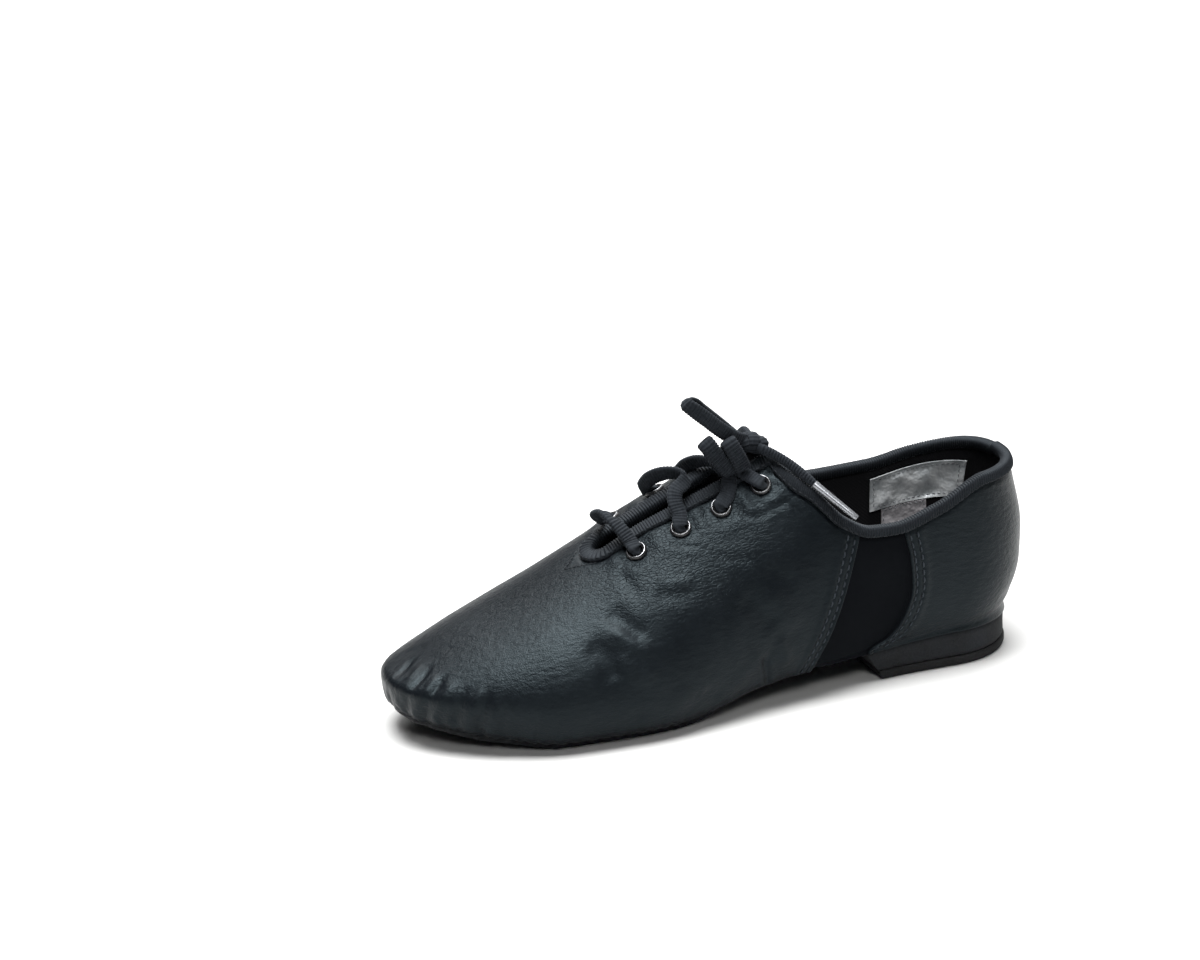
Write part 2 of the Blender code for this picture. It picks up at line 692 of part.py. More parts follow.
def eyelet(name, middle, normal):
    """A turned eyelet: a domed flange, a barrel through the leather and a rolled back."""
    low = -(WALL + 2.0 * EYELET_PLAY)
    profile = [
        (EYELET_BORE, EYELET_PLAY + EYELET_RISE * 0.7),
        (EYELET_BORE + 0.0006, EYELET_PLAY + EYELET_RISE),
        (EYELET_RADIUS - 0.0004, EYELET_PLAY + EYELET_RISE * 0.75),
        (EYELET_RADIUS, EYELET_PLAY),
        (EYELET_BARREL, EYELET_PLAY),
        (EYELET_BARREL, low),
        (EYELET_BACK, low),
        (EYELET_BORE, low - EYELET_HOLD),
    ]
    bm = bmesh.new()
    points = [bm.verts.new((r, 0, z)) for r, z in profile]
    for a, b in zip(points, points[1:] + points[:1]):
        bm.edges.new((a, b))
    obj = metal(mesh_object(name, bm))
    turned = obj.modifiers.new("turn", "SCREW")
    turned.steps = 12
    turned.render_steps = 12
    turned.merge_threshold = 0.00005
    turned.use_merge_vertices = True
    turned.use_smooth_shade = True
    pose(obj, middle, normal)


# Each crossing of the lace: eyelet from the toe back, rise over the throat, and bow towards the toe
CROSSINGS = ((1, 0.0042, 0.0060), (2, 0.0050, 0.0060), (3, 0.0042, 0.0060), (4, 0.0030, 0.0070))
CROSSING_FALL = 0.35  # how far a crossing sinks for each metre that it bows towards the toe
CROSSING_SHOULDER = (0.52, 0.75)  # shares of the crown's place and of its bow, halfway to an eyelet


def ribbon(name, route, widths):
    """A flat lace swept along a route, its width lying along the shoe."""
    bm = bmesh.new()
    rows = []
    tangents = unit(np.gradient(route, axis=0))
    lengthwise = np.array(LACE_LIE)
    for p, way, width in zip(route, tangents, widths):
        side = unit(lengthwise - way * lengthwise.dot(way))
        up = np.cross(side, way)
        row = []
        for k in range(8):
            a = math.tau * (k + 0.5) / 8
            reach = side * math.cos(a) * width / 2 + up * math.sin(a) * LACE_THICK / 2
            row.append(bm.verts.new(p + reach / math.cos(math.pi / 8)))
        rows.append(row)
    close_rows(bm, rows)
    bmesh.ops.recalc_face_normals(bm, faces=bm.faces)
    shade(tape(mesh_object(name, bm)), 60)


def crossings(seats):
    """The laces over the throat, each from one eyelet's bore into the other's."""
    count = 17
    for number, rise, bow in CROSSINGS:
        outer, inner = seats[number - 1], seats[number + len(EYELETS_AT) - 1]
        at = EYELETS_AT[number - 1]
        crown = np.array([throat_line(at), BACK - at * LENGTH, section(at)[4] + rise])
        toe = np.array([0, -bow, -bow * CROSSING_FALL])
        share, forward = CROSSING_SHOULDER
        half = []
        for middle, normal, _ in (outer, inner):
            over = crown * share + middle * (1 - share) + normal * LACE_OVER * share + normal * SEAT
            over = over + normal * EYELET_RISE + toe * forward
            half.append([middle - normal * EYELET_RISE, middle + normal * LACE_OVER / 2, over])
        route = smooth_route(half[0] + [crown + toe] + half[1][::-1], count)
        reach = np.minimum(np.arange(count), np.arange(count)[::-1])
        widths = LACE_NECK + (LACE_WIDTH - LACE_NECK) * smooth(reach / 3.0)
        ribbon(f"lace_bar_{number}", route, widths)


# The bow's pieces, in metres: points that each lace passes through
LOOP_LONG = (
    (0.0084, -0.0833, 0.0956),
    (0.0095, -0.0877, 0.0978),
    (0.0110, -0.0934, 0.1023),
    (0.0112, -0.0980, 0.1065),
    (0.0106, -0.1024, 0.1103),
    (0.0090, -0.1044, 0.1122),
    (0.0070, -0.1030, 0.1130),
    (0.0060, -0.0998, 0.1121),
    (0.0055, -0.0956, 0.1085),
    (0.0050, -0.0892, 0.1026),
    (0.0048, -0.0824, 0.0958),
)
LOOP_SHORT = (
    (0.0122, -0.0833, 0.0934),
    (0.0118, -0.0890, 0.0946),
    (0.0116, -0.0950, 0.0968),
    (0.0128, -0.0994, 0.0975),
    (0.0148, -0.0998, 0.0956),
    (0.0158, -0.0955, 0.0926),
    (0.0162, -0.0885, 0.0906),
    (0.0152, -0.0813, 0.0910),
)
END_OUTER = (
    (0.0132, -0.0759, 0.0924),
    (0.0158, -0.0727, 0.0900),
    (0.0184, -0.0696, 0.0877),
    (0.0216, -0.0665, 0.0850),
    (0.0262, -0.0625, 0.0808),
)
END_INNER = (
    (0.0016, -0.0776, 0.0945),
    (-0.0046, -0.0762, 0.0952),
    (-0.0098, -0.0752, 0.0936),
    (-0.0146, -0.0747, 0.0904),
    (-0.0190, -0.0744, 0.0856),
)
KNOT_AT = (0.0085, -0.0785, 0.0940)
KNOT_SIZE = (0.0065, 0.0045, 0.0036)


def cord(name, points, count):
    """A round cord along a smooth route."""
    curve = bpy.data.curves.new(name, "CURVE")
    curve.dimensions = "3D"
    curve.bevel_depth = CORD_RADIUS
    curve.bevel_resolution = 2
    curve.use_fill_caps = True
    route = smooth_route(points, count)
    spline = curve.splines.new("POLY")
    spline.points.add(count - 1)
    for k, p in enumerate(route):
        spline.points[k].co = (*p, 1)
    tape(link(bpy.data.objects.new(name, curve)))
    return route


def aglet(name, route):
    """The hard tip in line with the end of a cord."""
    way = Vector(route[-1] - route[-2]).normalized()
    bm = bmesh.new()
    bmesh.ops.create_cone(
        bm, cap_ends=True, segments=12, radius1=AGLET_RADIUS, radius2=AGLET_RADIUS * 0.8, depth=AGLET_LENGTH
    )
    obj = paint(mesh_object(name, bm), "aglet_plastic", (0.03, 0.03, 0.035), 0.15)
    pose(obj, Vector(route[-1]) + way * (AGLET_LENGTH / 2 + SEAT), way)
    shade(obj)


def bow():
    """The knot with its two loops and two ends."""
    bm = bmesh.new()
    bmesh.ops.create_uvsphere(bm, u_segments=16, v_segments=9, radius=1)
    bmesh.ops.scale(bm, vec=KNOT_SIZE, verts=bm.verts)
    bmesh.ops.translate(bm, vec=KNOT_AT, verts=bm.verts)
    shade(tape(mesh_object("lace_knot", bm)), 80)
    cord("lace_loop_long", LOOP_LONG, 16)
    cord("lace_loop_short", LOOP_SHORT, 14)
    aglet("aglet_outer", cord("lace_end_outer", END_OUTER, 9))
    aglet("aglet_inner", cord("lace_end_inner", END_INNER, 9))


def inner_patch(name, front, rear, material):
    """A blank tab of cloth against the inside of the inner wall at the heel. Its front and rear
    ends are given as place along the shoe and as lowest and highest point over INSTEP."""
    count = 9
    grid = []
    for at, low, high in np.linspace(front, rear, count):
        row = []
        for height in np.linspace(low, high, 4) * INSTEP:
            near, far = 0.0, BALL_WIDTH
            y = BACK - at * LENGTH
            for _ in range(30):
                middle = (near + far) / 2
                inner = outside(np.array([-middle, y, height])) < 0
                near, far = (middle, far) if inner else (near, middle)
            row.append((-near, y, height))
        grid.append(row)
    grid = np.array(grid)
    out = np.array([[surface_normal(p) for p in row] for row in grid])
    gap = WALL + LABEL_PLAY
    obj = slab(name, grid - out * (gap + LABEL), grid - out * gap)
    material(obj)


def label_cloth(obj):
    return paint(obj, "label_cloth", (0.55, 0.56, 0.57), 0.45)


def labels():
    inner_patch("label", (0.176, 0.500, 0.655), (0.022, 0.540, 0.728), label_cloth)
    inner_patch("size_tag", (0.155, 0.400, 0.500), (0.090, 0.425, 0.515), label_cloth)


def build():
    for obj in list(bpy.data.objects):
        bpy.data.objects.remove(obj)
    bpy.context.scene.collection.children.link(shoe)
    bpy.context.scene.collection.children.link(cutters)
    upper()
    binding()
    insole()
    outsole()
    heel()
    seats = eyelet_seats()
    for k, (middle, normal, side) in enumerate(seats):
        row = "outer" if side > 0 else "inner"
        eyelet(f"eyelet_{row}_{k % len(EYELETS_AT) + 1}", middle, normal)
    crossings(seats)
    bow()
    labels()


build()
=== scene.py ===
# The looks of a black lace-up jazz shoe, the left one of a pair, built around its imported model.
# Metres, +Z up, the toe towards -Y and the outer side of the foot towards +X.

import math

import bmesh
import bpy
import numpy as np
from mathutils import Matrix, Vector


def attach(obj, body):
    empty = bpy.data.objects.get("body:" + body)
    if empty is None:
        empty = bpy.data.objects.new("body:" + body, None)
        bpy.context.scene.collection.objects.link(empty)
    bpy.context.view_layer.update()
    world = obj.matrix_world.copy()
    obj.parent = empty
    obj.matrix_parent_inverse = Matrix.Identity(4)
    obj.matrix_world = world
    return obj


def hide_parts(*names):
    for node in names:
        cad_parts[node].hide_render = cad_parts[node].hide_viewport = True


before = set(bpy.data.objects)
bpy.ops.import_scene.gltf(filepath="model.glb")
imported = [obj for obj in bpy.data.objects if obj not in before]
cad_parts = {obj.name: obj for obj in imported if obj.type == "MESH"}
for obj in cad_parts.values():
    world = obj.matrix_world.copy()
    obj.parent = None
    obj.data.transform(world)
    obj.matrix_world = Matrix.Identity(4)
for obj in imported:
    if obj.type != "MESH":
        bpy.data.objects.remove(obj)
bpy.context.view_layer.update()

MM = 0.001

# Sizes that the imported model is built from
LENGTH = 0.250
BALL_WIDTH = 0.0895
INSTEP = 0.088
HEEL_SEAT = 0.0137
TOE_SPRING = 0.0068
BACK = 0.030
WALL = 0.0016
MARGIN = 0.012
THROAT_RADIUS = 0.0045
THROAT_HALF = 0.0032
SOLE = 0.0022
SOLE_INSET = 0.0006
HEEL_LIFT = 0.0034
LIFT_PROUD = 0.0005
BREAST_SLANT = 0.0050
INSOLE = 0.0022
INSOLE_PLAY = 0.0030
INSOLE_SEAT = 0.0007
SEAT = 0.0003
BINDING_THROAT = 0.0046
BINDING_COLLAR = 0.0042
EYELET_RADIUS = 0.0040
EYELET_BORE = 0.0023
EYELET_BARREL = 0.0029
EYELET_INSET = 0.0098
LACE_WIDTH = 0.0056
LACE_THICK = 0.0019
CORD_RADIUS = 0.0019
AGLET_LENGTH = 0.020
LABEL_PLAY = 0.0008

THROAT_AT = 0.664
HEEL_AT = 0.130
BREAST_AT = 0.276
SOLE_BACK_AT = 0.500
WAIST_AT = (0.300, 0.520)
EYELETS_AT = (0.633, 0.566, 0.503, 0.440)

SECTION_COLUMNS = ("along", "centre", "half", "widest", "ridge", "lean", "peak")
SECTIONS = (
    (0.00, 0.000, 0.365, 0.255, 1.550, 0.000, 0.90),
    (0.12, 0.001, 0.364, 0.257, 1.550, 0.000, 0.90),
    (0.24, 0.007, 0.355, 0.236, 1.450, -0.010, 0.95),
    (0.36, 0.030, 0.368, 0.214, 1.140, -0.030, 1.05),
    (0.48, 0.036, 0.401, 0.202, 0.965, -0.050, 1.10),
    (0.58, 0.028, 0.458, 0.180, 0.840, -0.066, 1.05),
    (0.68, 0.004, 0.501, 0.158, 0.680, -0.050, 1.00),
    (0.78, -0.015, 0.494, 0.165, 0.530, -0.030, 0.95),
    (0.88, -0.034, 0.449, 0.148, 0.402, -0.020, 0.90),
    (1.00, -0.063, 0.400, 0.125, 0.285, -0.010, 0.90),
)
UNDERSIDE_COLUMNS = ("along", "rise", "spring")
UNDERSIDE = (
    (0.00, 1.00, 0.00),
    (0.12, 1.00, 0.00),
    (0.24, 0.86, 0.00),
    (0.36, 0.75, 0.00),
    (0.48, 0.50, 0.00),
    (0.56, 0.14, 0.00),
    (0.62, 0.00, 0.00),
    (0.80, 0.00, 0.00),
    (0.88, 0.14, 0.12),
    (1.00, 0.14, 1.00),
)
HEEL_CURVE = (
    (0, 0.045), (0.12, 0.037), (0.25, 0.012), (0.4, -0.003),
    (0.55, -0.005), (0.75, 0.007), (0.95, 0.025),
)
TOE_CURVE = ((0, 0.035), (0.06, 0.022), (0.14, 0.006), (0.22, 0), (1.2, 0))
COLLAR_OUTER = (
    (0, 0.845), (0.1, 0.84), (0.18, 0.745), (0.25, 0.69), (0.29, 0.697),
    (0.33, 0.755), (0.37, 0.88), (0.4, 0.955), (0.42, 1.02), (0.45, 1.2),
)
COLLAR_INNER = (
    (0, 0.845), (0.1, 0.765), (0.18, 0.73), (0.25, 0.73), (0.29, 0.735),
    (0.33, 0.79), (0.36, 0.875), (0.377, 0.925), (0.392, 0.975), (0.402, 1.016),
    (0.409, 1.037), (0.416, 1.045), (0.43, 1.058), (0.45, 1.2),
)
THROAT_LINE = ((0.3, 0.03), (0.45, 0.024), (0.55, 0.024), (0.66, 0))
THROAT_GAP = ((0.4, 1.5), (0.46, 1.3), (0.54, 1.1), (0.61, 1.0))
FRONT_SEAM = ((0.12, 0.394), (0.18, 0.385), (0.28, 0.366), (0.43, 0.342), (0.58, 0.322), (0.7, 0.307))
REAR_SEAM = (
    (0.12, 0.302), (0.16, 0.29), (0.19, 0.266), (0.3, 0.236),
    (0.42, 0.225), (0.53, 0.227), (0.65, 0.235),
)
FRONT_SEAM_AT = FRONT_SEAM[-1][1]  # the seams' places at the collar
REAR_SEAM_AT = REAR_SEAM[-1][1]
SEAM_REACH_AT = 0.55
TOE_ROUND = (0.76, 2.2)
TOE_DROP = (0.86, 2.2)
HEEL_ROUND = (0.13, 2.2)
TUCK = 0.157
DOWN_TO = -0.6

# How finely the walls are divided here
FAN_TOE = 122  # stations over the toe, up to its broad turn
FAN_TURN = 54  # degrees
FAN_SIDE = 24
FAN_HEEL = 84
WALL_ROWS = 82  # from the top edge down to the sole
UNDER_ROWS = 8  # from the wall in under the foot
UNDER_EDGE = 5  # this row gives the way down from the top edge
# Stations beside a seam of the stretch panel, in mm from it
SEAM_STEPS = (
    14, 12, 10, 9, 8.2, 7.4, 6.6, 5.9, 5.4, 5, 4.6,
    4.1, 3.4, 2.7, 2.2, 1.9, 1.6, 1.1, 0.7, 0.4, 0.2, 0,
)
PANEL_STEPS = (0.15, 0.3, 0.5, 0.8, 1.3, 2)


def camera():
    """The photograph's view: a long lens, low over the floor, with a slight roll."""
    azimuth, elevation, roll = (math.radians(a) for a in (70.4, 19.1, -2.6))
    target = Vector((-0.0391, -0.1217, 0.0714))
    distance = 0.9744
    back = Vector((
        math.sin(azimuth) * math.cos(elevation),
        -math.cos(azimuth) * math.cos(elevation),
        math.sin(elevation),
    ))
    right = Vector((math.cos(azimuth), math.sin(azimuth), 0))
    up = back.cross(right)
    across = right * math.cos(roll) + up * math.sin(roll)
    upright = up * math.cos(roll) - right * math.sin(roll)
    data = bpy.data.cameras.new("camera")
    data.sensor_width = 36
    data.lens = 77.1
    data.clip_start = 0.01
    obj = bpy.data.objects.new("camera", data)
    obj.matrix_world = Matrix.Translation(target + back * distance) @ Matrix((
        (across.x, upright.x, back.x, 0),
        (across.y, upright.y, back.y, 0),
        (across.z, upright.z, back.z, 0),
        (0, 0, 0, 1),
    ))
    bpy.context.scene.collection.objects.link(obj)
    bpy.context.scene.camera = obj


def monotone(table, at):
    """A smooth curve without overshoot through a table's two columns, read at each value."""
    x, y = np.array(table, float).T
    at = np.clip(np.asarray(at, float), x[0], x[-1])
    step = np.diff(x)
    rise = np.diff(y) / step
    slope = np.r_[rise[0], np.zeros(len(x) - 2), rise[-1]]
    for i in range(1, len(x) - 1):
        if rise[i - 1] * rise[i] > 0:
            before = 2 * step[i] + step[i - 1]
            after = step[i] + 2 * step[i - 1]
            slope[i] = (before + after) / (before / rise[i - 1] + after / rise[i])
    i = np.clip(np.searchsorted(x, at, side="right") - 1, 0, len(x) - 2)
    s = (at - x[i]) / step[i]
    return (
        (1 + 2 * s) * (1 - s) ** 2 * y[i]
        + s * (1 - s) ** 2 * step[i] * slope[i]
        + s * s * (3 - 2 * s) * y[i + 1]
        + s * s * (s - 1) * step[i] * slope[i + 1]
    )


def column(rows, names, name, at):
    k = names.index(name)
    return monotone([(row[0], row[k]) for row in rows], at)


def smooth(s):
    s = np.clip(s, 0, 1)
    return s * s * (3 - 2 * s)


def share_at(y):
    """Place along the shoe, as a share of its length."""
    return (BACK - y) / LENGTH


def bisected(is_inside, near, far, rounds):
    """The last value that is inside, between ones that are inside and outside."""
    for _ in range(rounds):
        middle = (near + far) / 2
        inner = is_inside(middle)
        near, far = np.where(inner, middle, near), np.where(inner, far, middle)
    return near


def rounded(s, power):
    return (1 - np.clip(s, 0, 1) ** power) ** (1 / power)


def underside(at):
    base = SOLE + SEAT
    rise = column(UNDERSIDE, UNDERSIDE_COLUMNS, "rise", at)
    spring = column(UNDERSIDE, UNDERSIDE_COLUMNS, "spring", at)
    return base + rise * (HEEL_SEAT - base) + spring * TOE_SPRING


def floor_line(at):
    """Height of the upper's underside at a place along the shoe."""
    z = np.full(np.shape(at), SOLE)
    for _ in range(8):
        z = underside(place_along(BACK - at * LENGTH, z))
    return z


def section(at):
    """Centre, half width, underside, widest height, ridge height, lean and peak of a section."""
    at = np.clip(at, 0, 1)
    read = {name: column(SECTIONS, SECTION_COLUMNS, name, at) for name in SECTION_COLUMNS[1:]}
    toe = rounded((at - TOE_ROUND[0]) / (1 - TOE_ROUND[0]), TOE_ROUND[1])
    heel = rounded((HEEL_ROUND[0] - at) / HEEL_ROUND[0], HEEL_ROUND[1])
    drop = rounded((at - TOE_DROP[0]) / (1 - TOE_DROP[0]), TOE_DROP[1])
    bottom = underside(at)
    widest = bottom + read["widest"] * INSTEP
    ridge = widest + (read["ridge"] * INSTEP - widest) * drop
    half = read["half"] * BALL_WIDTH * toe * heel
    return read["centre"] * BALL_WIDTH, half, bottom, widest, ridge, read["lean"] * BALL_WIDTH, read["peak"]


def place_along(y, z):
    """Place along the shoe, with the heel's and the toe's curved ends straightened."""
    at = share_at(y)
    heel = monotone(HEEL_CURVE, z / INSTEP) * smooth(1 - at / 0.35)
    toe = monotone(TOE_CURVE, z / INSTEP) * smooth((at - 0.72) / 0.28)
    return at - heel + toe


def outside(p):
    """How far a point lies outside the last, roughly; negative inside."""
    x, y, z = p[..., 0], p[..., 1], p[..., 2]
    at = place_along(y, z)
    centre, half, bottom, widest, ridge, lean, peak = section(at)
    up = np.clip((z - widest) / np.maximum(ridge - widest, 1e-6), 0, None)
    down = np.clip((widest - z) / np.maximum(widest - bottom, 1e-6), 0, None)
    above = half * np.clip(1 - up * up, 0, 1) ** (peak / 2)
    below = half * (1 - TUCK * (1 - np.sqrt(np.clip(1 - down * down, 0, 1))))
    over = np.abs(x - centre - lean * np.minimum(up, 1) ** 2) - np.where(z > widest, above, below)
    past = np.maximum(up - 1, 0) + np.maximum(down - 1, 0)
    return over + 0.1 * past + LENGTH * (np.maximum(at - 1, 0) + np.maximum(-at, 0))


def throat_line(at):
    beside = monotone(THROAT_LINE, at) * smooth((at - 0.2) / 0.15)
    return (column(SECTIONS, SECTION_COLUMNS, "centre", at) + beside) * BALL_WIDTH


def throat_half(at):
    half = THROAT_HALF * monotone(THROAT_GAP, at)
    return half + (THROAT_RADIUS - half) * smooth((at - THROAT_GAP[-1][0]) / (THROAT_AT - THROAT_GAP[-1][0]))


def wall_lines(ring, fine=110):
    """The last's surface in each station, from the underside up to the collar's or throat's edge."""
    turn = np.radians(ring[:, 1])[:, None]
    lift = np.linspace(DOWN_TO, math.pi / 2, fine)[None, :]
    way = np.stack([np.sin(turn) * np.cos(lift), -np.cos(turn) * np.cos(lift), np.sin(lift) + 0 * turn], -1)
    height = np.full((len(ring), fine), 0.4)
    for _ in range(4):
        at = ring[:, :1] + ring[:, 2:3] * (monotone(FRONT_SEAM, height) - FRONT_SEAM_AT)
        at = at + ring[:, 3:4] * (monotone(REAR_SEAM, height) - REAR_SEAM_AT)
        start = np.stack([throat_line(at), BACK - at * LENGTH, section(at)[3]], -1)
        reach = bisected(
            lambda away: outside(start + way * away[..., None]) < 0,
            np.zeros(at.shape), np.full(at.shape, LENGTH), 22,
        )
        points = start + way * reach[..., None]
        height = points[..., 2] / INSTEP
    lines = []
    for i, line in enumerate(points):
        at = share_at(line[:, 1])
        collar = monotone(COLLAR_OUTER if ring[i, 1] <= 180 else COLLAR_INNER, at) * INSTEP
        over = np.where(ring[i, 0] < 0.46, line[:, 2] - collar, -1.0)
        if ring[i, 0] > 0.40:
            away = np.hypot(line[:, 0] - start[i, :, 0], line[:, 1] - start[i, :, 1])
            over = np.maximum(over, throat_half(ring[i, 0]) - away)
        low = line[:, 2] - underside(place_along(line[:, 1], line[:, 2]))
        first = int(np.argmax(low > 0))
        last = int(np.argmax((over > 0) & (np.arange(fine) > fine // 4)))
        share = over[last - 1] / (over[last - 1] - over[last])
        foot = low[first - 1] / (low[first - 1] - low[first])
        ends = [line[first - 1] + (line[first] - line[first - 1]) * foot]
        ends.append(line[last - 1] + (line[last] - line[last - 1]) * share)
        lines.append(np.vstack([ends[:1], line[first:last], ends[1:]]))
    return lines


def run_of(points):
    """Distance along a line at each of its points."""
    return np.r_[0, np.cumsum(np.linalg.norm(np.diff(points, axis=0), axis=1))]


def length_of(points):
    return float(run_of(points)[-1])


def read_at(at, run, points):
    """Points of a line at distances along it."""
    return np.stack([np.interp(at, run, points[:, k]) for k in range(3)], -1)


def read_line(line, depths):
    """Points of a line at depths measured down from its top end, and its length."""
    line = line[::-1]
    run = run_of(line)
    return read_at(depths, run, line), run[-1]


def unit(v):
    return v / np.maximum(np.linalg.norm(v, axis=-1, keepdims=True), 1e-12)


def surface_normal(p, step=0.0005):
    """Directions away from the last at points of its surface."""
    shifts = np.eye(3) * step
    p = np.asarray(p, float)
    return unit(np.stack([outside(p + s) - outside(p - s) for s in shifts], -1))


def grid_normals(grid):
    """Directions away from the foot at each point of a closed ring of lines."""
    along = np.roll(grid, -1, 0) - np.roll(grid, 1, 0)
    down = np.gradient(grid, axis=1)
    return unit(np.cross(down, along))


def side_places():
    """Places of the side's stations from the throat's front back to the heel, close together at the
    throat's corner and at the stretch panel's seams."""
    front, rear = FRONT_SEAM_AT, REAR_SEAM_AT
    seam = np.array(SEAM_STEPS) * MM / LENGTH
    panel = np.array(PANEL_STEPS) * MM / LENGTH
    return np.concatenate([
        np.linspace(THROAT_AT, 0.44, 46, endpoint=False),
        np.linspace(0.44, 0.385, 44, endpoint=False),
        np.linspace(0.385, front + seam[0], 8, endpoint=False),
        front + seam,
        front - panel,
        np.linspace(front - panel[-1], rear + panel[-1], 14)[1:-1],
        rear + panel[::-1],
        rear - seam[::-1],
        np.linspace(rear - seam[0], HEEL_AT, 14, endpoint=False)[1:],
    ])


def seam_pulls(at):
    """How far a station leans with the panel's front and rear seam."""
    front, rear = FRONT_SEAM_AT, REAR_SEAM_AT
    share = np.clip((front - at) / (front - rear), 0, 1)
    forward = smooth((SEAM_REACH_AT - at) / (SEAM_REACH_AT - front))
    backward = smooth((at - HEEL_AT) / (rear - HEEL_AT))
    return np.where(at >= front, forward, 1 - share), np.where(at <= rear, backward, share)


def fine_ring():
    """Rows of place along the shoe, direction in plan, and the two pulls, from the toe round."""
    side = side_places()
    forward, backward = seam_pulls(side)
    fan = np.r_[
        np.linspace(0, FAN_TURN, FAN_TOE, endpoint=False),
        np.linspace(FAN_TURN, 90, FAN_SIDE, endpoint=False),
    ]
    zero = np.zeros(len(fan))
    turns = np.linspace(90, 270, FAN_HEEL + 1)
    none = np.zeros(FAN_HEEL + 1)
    parts = [
        np.stack([zero + THROAT_AT, fan, zero, zero], 1),
        np.stack([side, np.full(len(side), 90.0), forward, backward], 1),
        np.stack([none + HEEL_AT, turns, none, none], 1),
        np.stack([side, np.full(len(side), 270.0), forward, backward], 1)[::-1],
        np.stack([zero + THROAT_AT, 360 - fan, zero, zero], 1)[:0:-1],
    ]
    return np.vstack(parts)


def wall_grid(ring):
    """Points [station][row] from the top edge down to the sole."""
    rows = []
    for line in wall_lines(ring):
        whole = read_line(line, 0.0)[1]
        rows.append(read_line(line, whole * np.linspace(0, 1, WALL_ROWS))[0])
    return np.array(rows)


def smooth_route(points, count):
    """Points at even distances along a smooth curve through a few chosen ones."""
    points = np.array(points, float)
    ends = [2 * points[0] - points[1], 2 * points[-1] - points[-2]]
    p = np.vstack([ends[:1], points, ends[1:]])
    s = np.linspace(0, 1, 12, endpoint=False)[:, None]
    dense = []
    for a, b, c, d in zip(p[:-3], p[1:-2], p[2:-1], p[3:]):
        bend = (2 * a - 5 * b + 4 * c - d) * s**2 + (3 * b - a - 3 * c + d) * s**3
        dense.append(0.5 * (2 * b + (c - a) * s + bend))
    dense = np.vstack(dense + [points[-1:]])
    run = run_of(dense)
    return read_at(np.linspace(0, run[-1], count), run, dense)


# Materials

def set_inputs(made, **values):
    """Constant values on a node's own sockets; an underscore stands for a blank in a name."""
    for name, value in values.items():
        made.inputs[name.replace("_", " ")].default_value = value


def material(name, colour, roughness, metallic=0.0, **values):
    """A Principled material, with its node tree and shader."""
    made = bpy.data.materials.new(name)
    made.use_nodes = True
    shader = made.node_tree.nodes["Principled BSDF"]
    set_inputs(shader, Base_Color=(*colour, 1), Roughness=roughness, Metallic=metallic, **values)
    return made, made.node_tree, shader


def node(tree, kind, **values):
    made = tree.nodes.new(kind)
    set_inputs(made, **values)
    return made


def link(tree, made, **sources):
    """Links outputs of other nodes to a node's sockets."""
    for name, source in sources.items():
        tree.links.new(source, made.inputs[name.replace("_", " ")])


def place(tree, output="Object", scale=(1, 1, 1), turn=(0, 0, 0)):
    """Texture coordinates, stretched and turned."""
    mapping = node(tree, "ShaderNodeMapping", Scale=scale, Rotation=turn)
    link(tree, mapping, Vector=node(tree, "ShaderNodeTexCoord").outputs[output])
    return mapping.outputs["Vector"]


def noise(tree, vector, scale, detail=4.0, rough=0.55):
    made = node(tree, "ShaderNodeTexNoise", Scale=scale, Detail=detail, Roughness=rough)
    link(tree, made, Vector=vector)
    return made.outputs["Fac"]


def cells(tree, vector, scale):
    """Distance to the edge between cells."""
    made = node(tree, "ShaderNodeTexVoronoi")
    made.feature = "DISTANCE_TO_EDGE"
    set_inputs(made, Scale=scale)
    link(tree, made, Vector=vector)
    return made.outputs["Distance"]


def spread(tree, value, low, high, out_low, out_high):
    """One range of a value stretched to another."""
    made = node(tree, "ShaderNodeMapRange", From_Min=low, From_Max=high, To_Min=out_low, To_Max=out_high)
    link(tree, made, Value=value)
    return made.outputs["Result"]


def maths(tree, operation, *values):
    made = node(tree, "ShaderNodeMath")
    made.operation = operation
    for k, value in enumerate(values):
        tree.links.new(value, made.inputs[k])
    return made.outputs["Value"]


def blend_colour(tree, share, first, second):
    made = node(tree, "ShaderNodeMix")
    made.data_type = "RGBA"
    link(tree, made, Factor=share)
    sockets = [s for s in made.inputs if s.type == "RGBA"]
    for socket, colour in zip(sockets, (first, second)):
        socket.default_value = (*colour, 1)
    return next(s for s in made.outputs if s.type == "RGBA")


def near(tree, middle, reach):
    """1 at a place in the shoe, falling to 0 at the reach along each axis."""
    shift = tuple(-m / r for m, r in zip(middle, reach))
    mapping = node(tree, "ShaderNodeMapping", Scale=tuple(1 / r for r in reach), Location=shift)
    link(tree, mapping, Vector=node(tree, "ShaderNodeTexCoord").outputs["Object"])
    away = node(tree, "ShaderNodeVectorMath")
    away.operation = "LENGTH"
    tree.links.new(mapping.outputs["Vector"], away.inputs[0])
    return spread(tree, away.outputs["Value"], 0.45, 1.0, 1, 0)


def bump(tree, shader, *layers):
    """Stacks bump layers of (height, depth in metres, strength)."""
    last = {}
    for height, depth, strength in layers:
        made = node(tree, "ShaderNodeBump", Strength=strength, Distance=depth)
        link(tree, made, Height=height, **last)
        last = {"Normal": made.outputs["Normal"]}
    link(tree, shader, **last)


# Where the leather is wrinkled most, beside the outer eyelets, and how far
WORN_AT = (0.024, -0.112, 0.062)
WORN_REACH = (0.030, 0.060, 0.034)


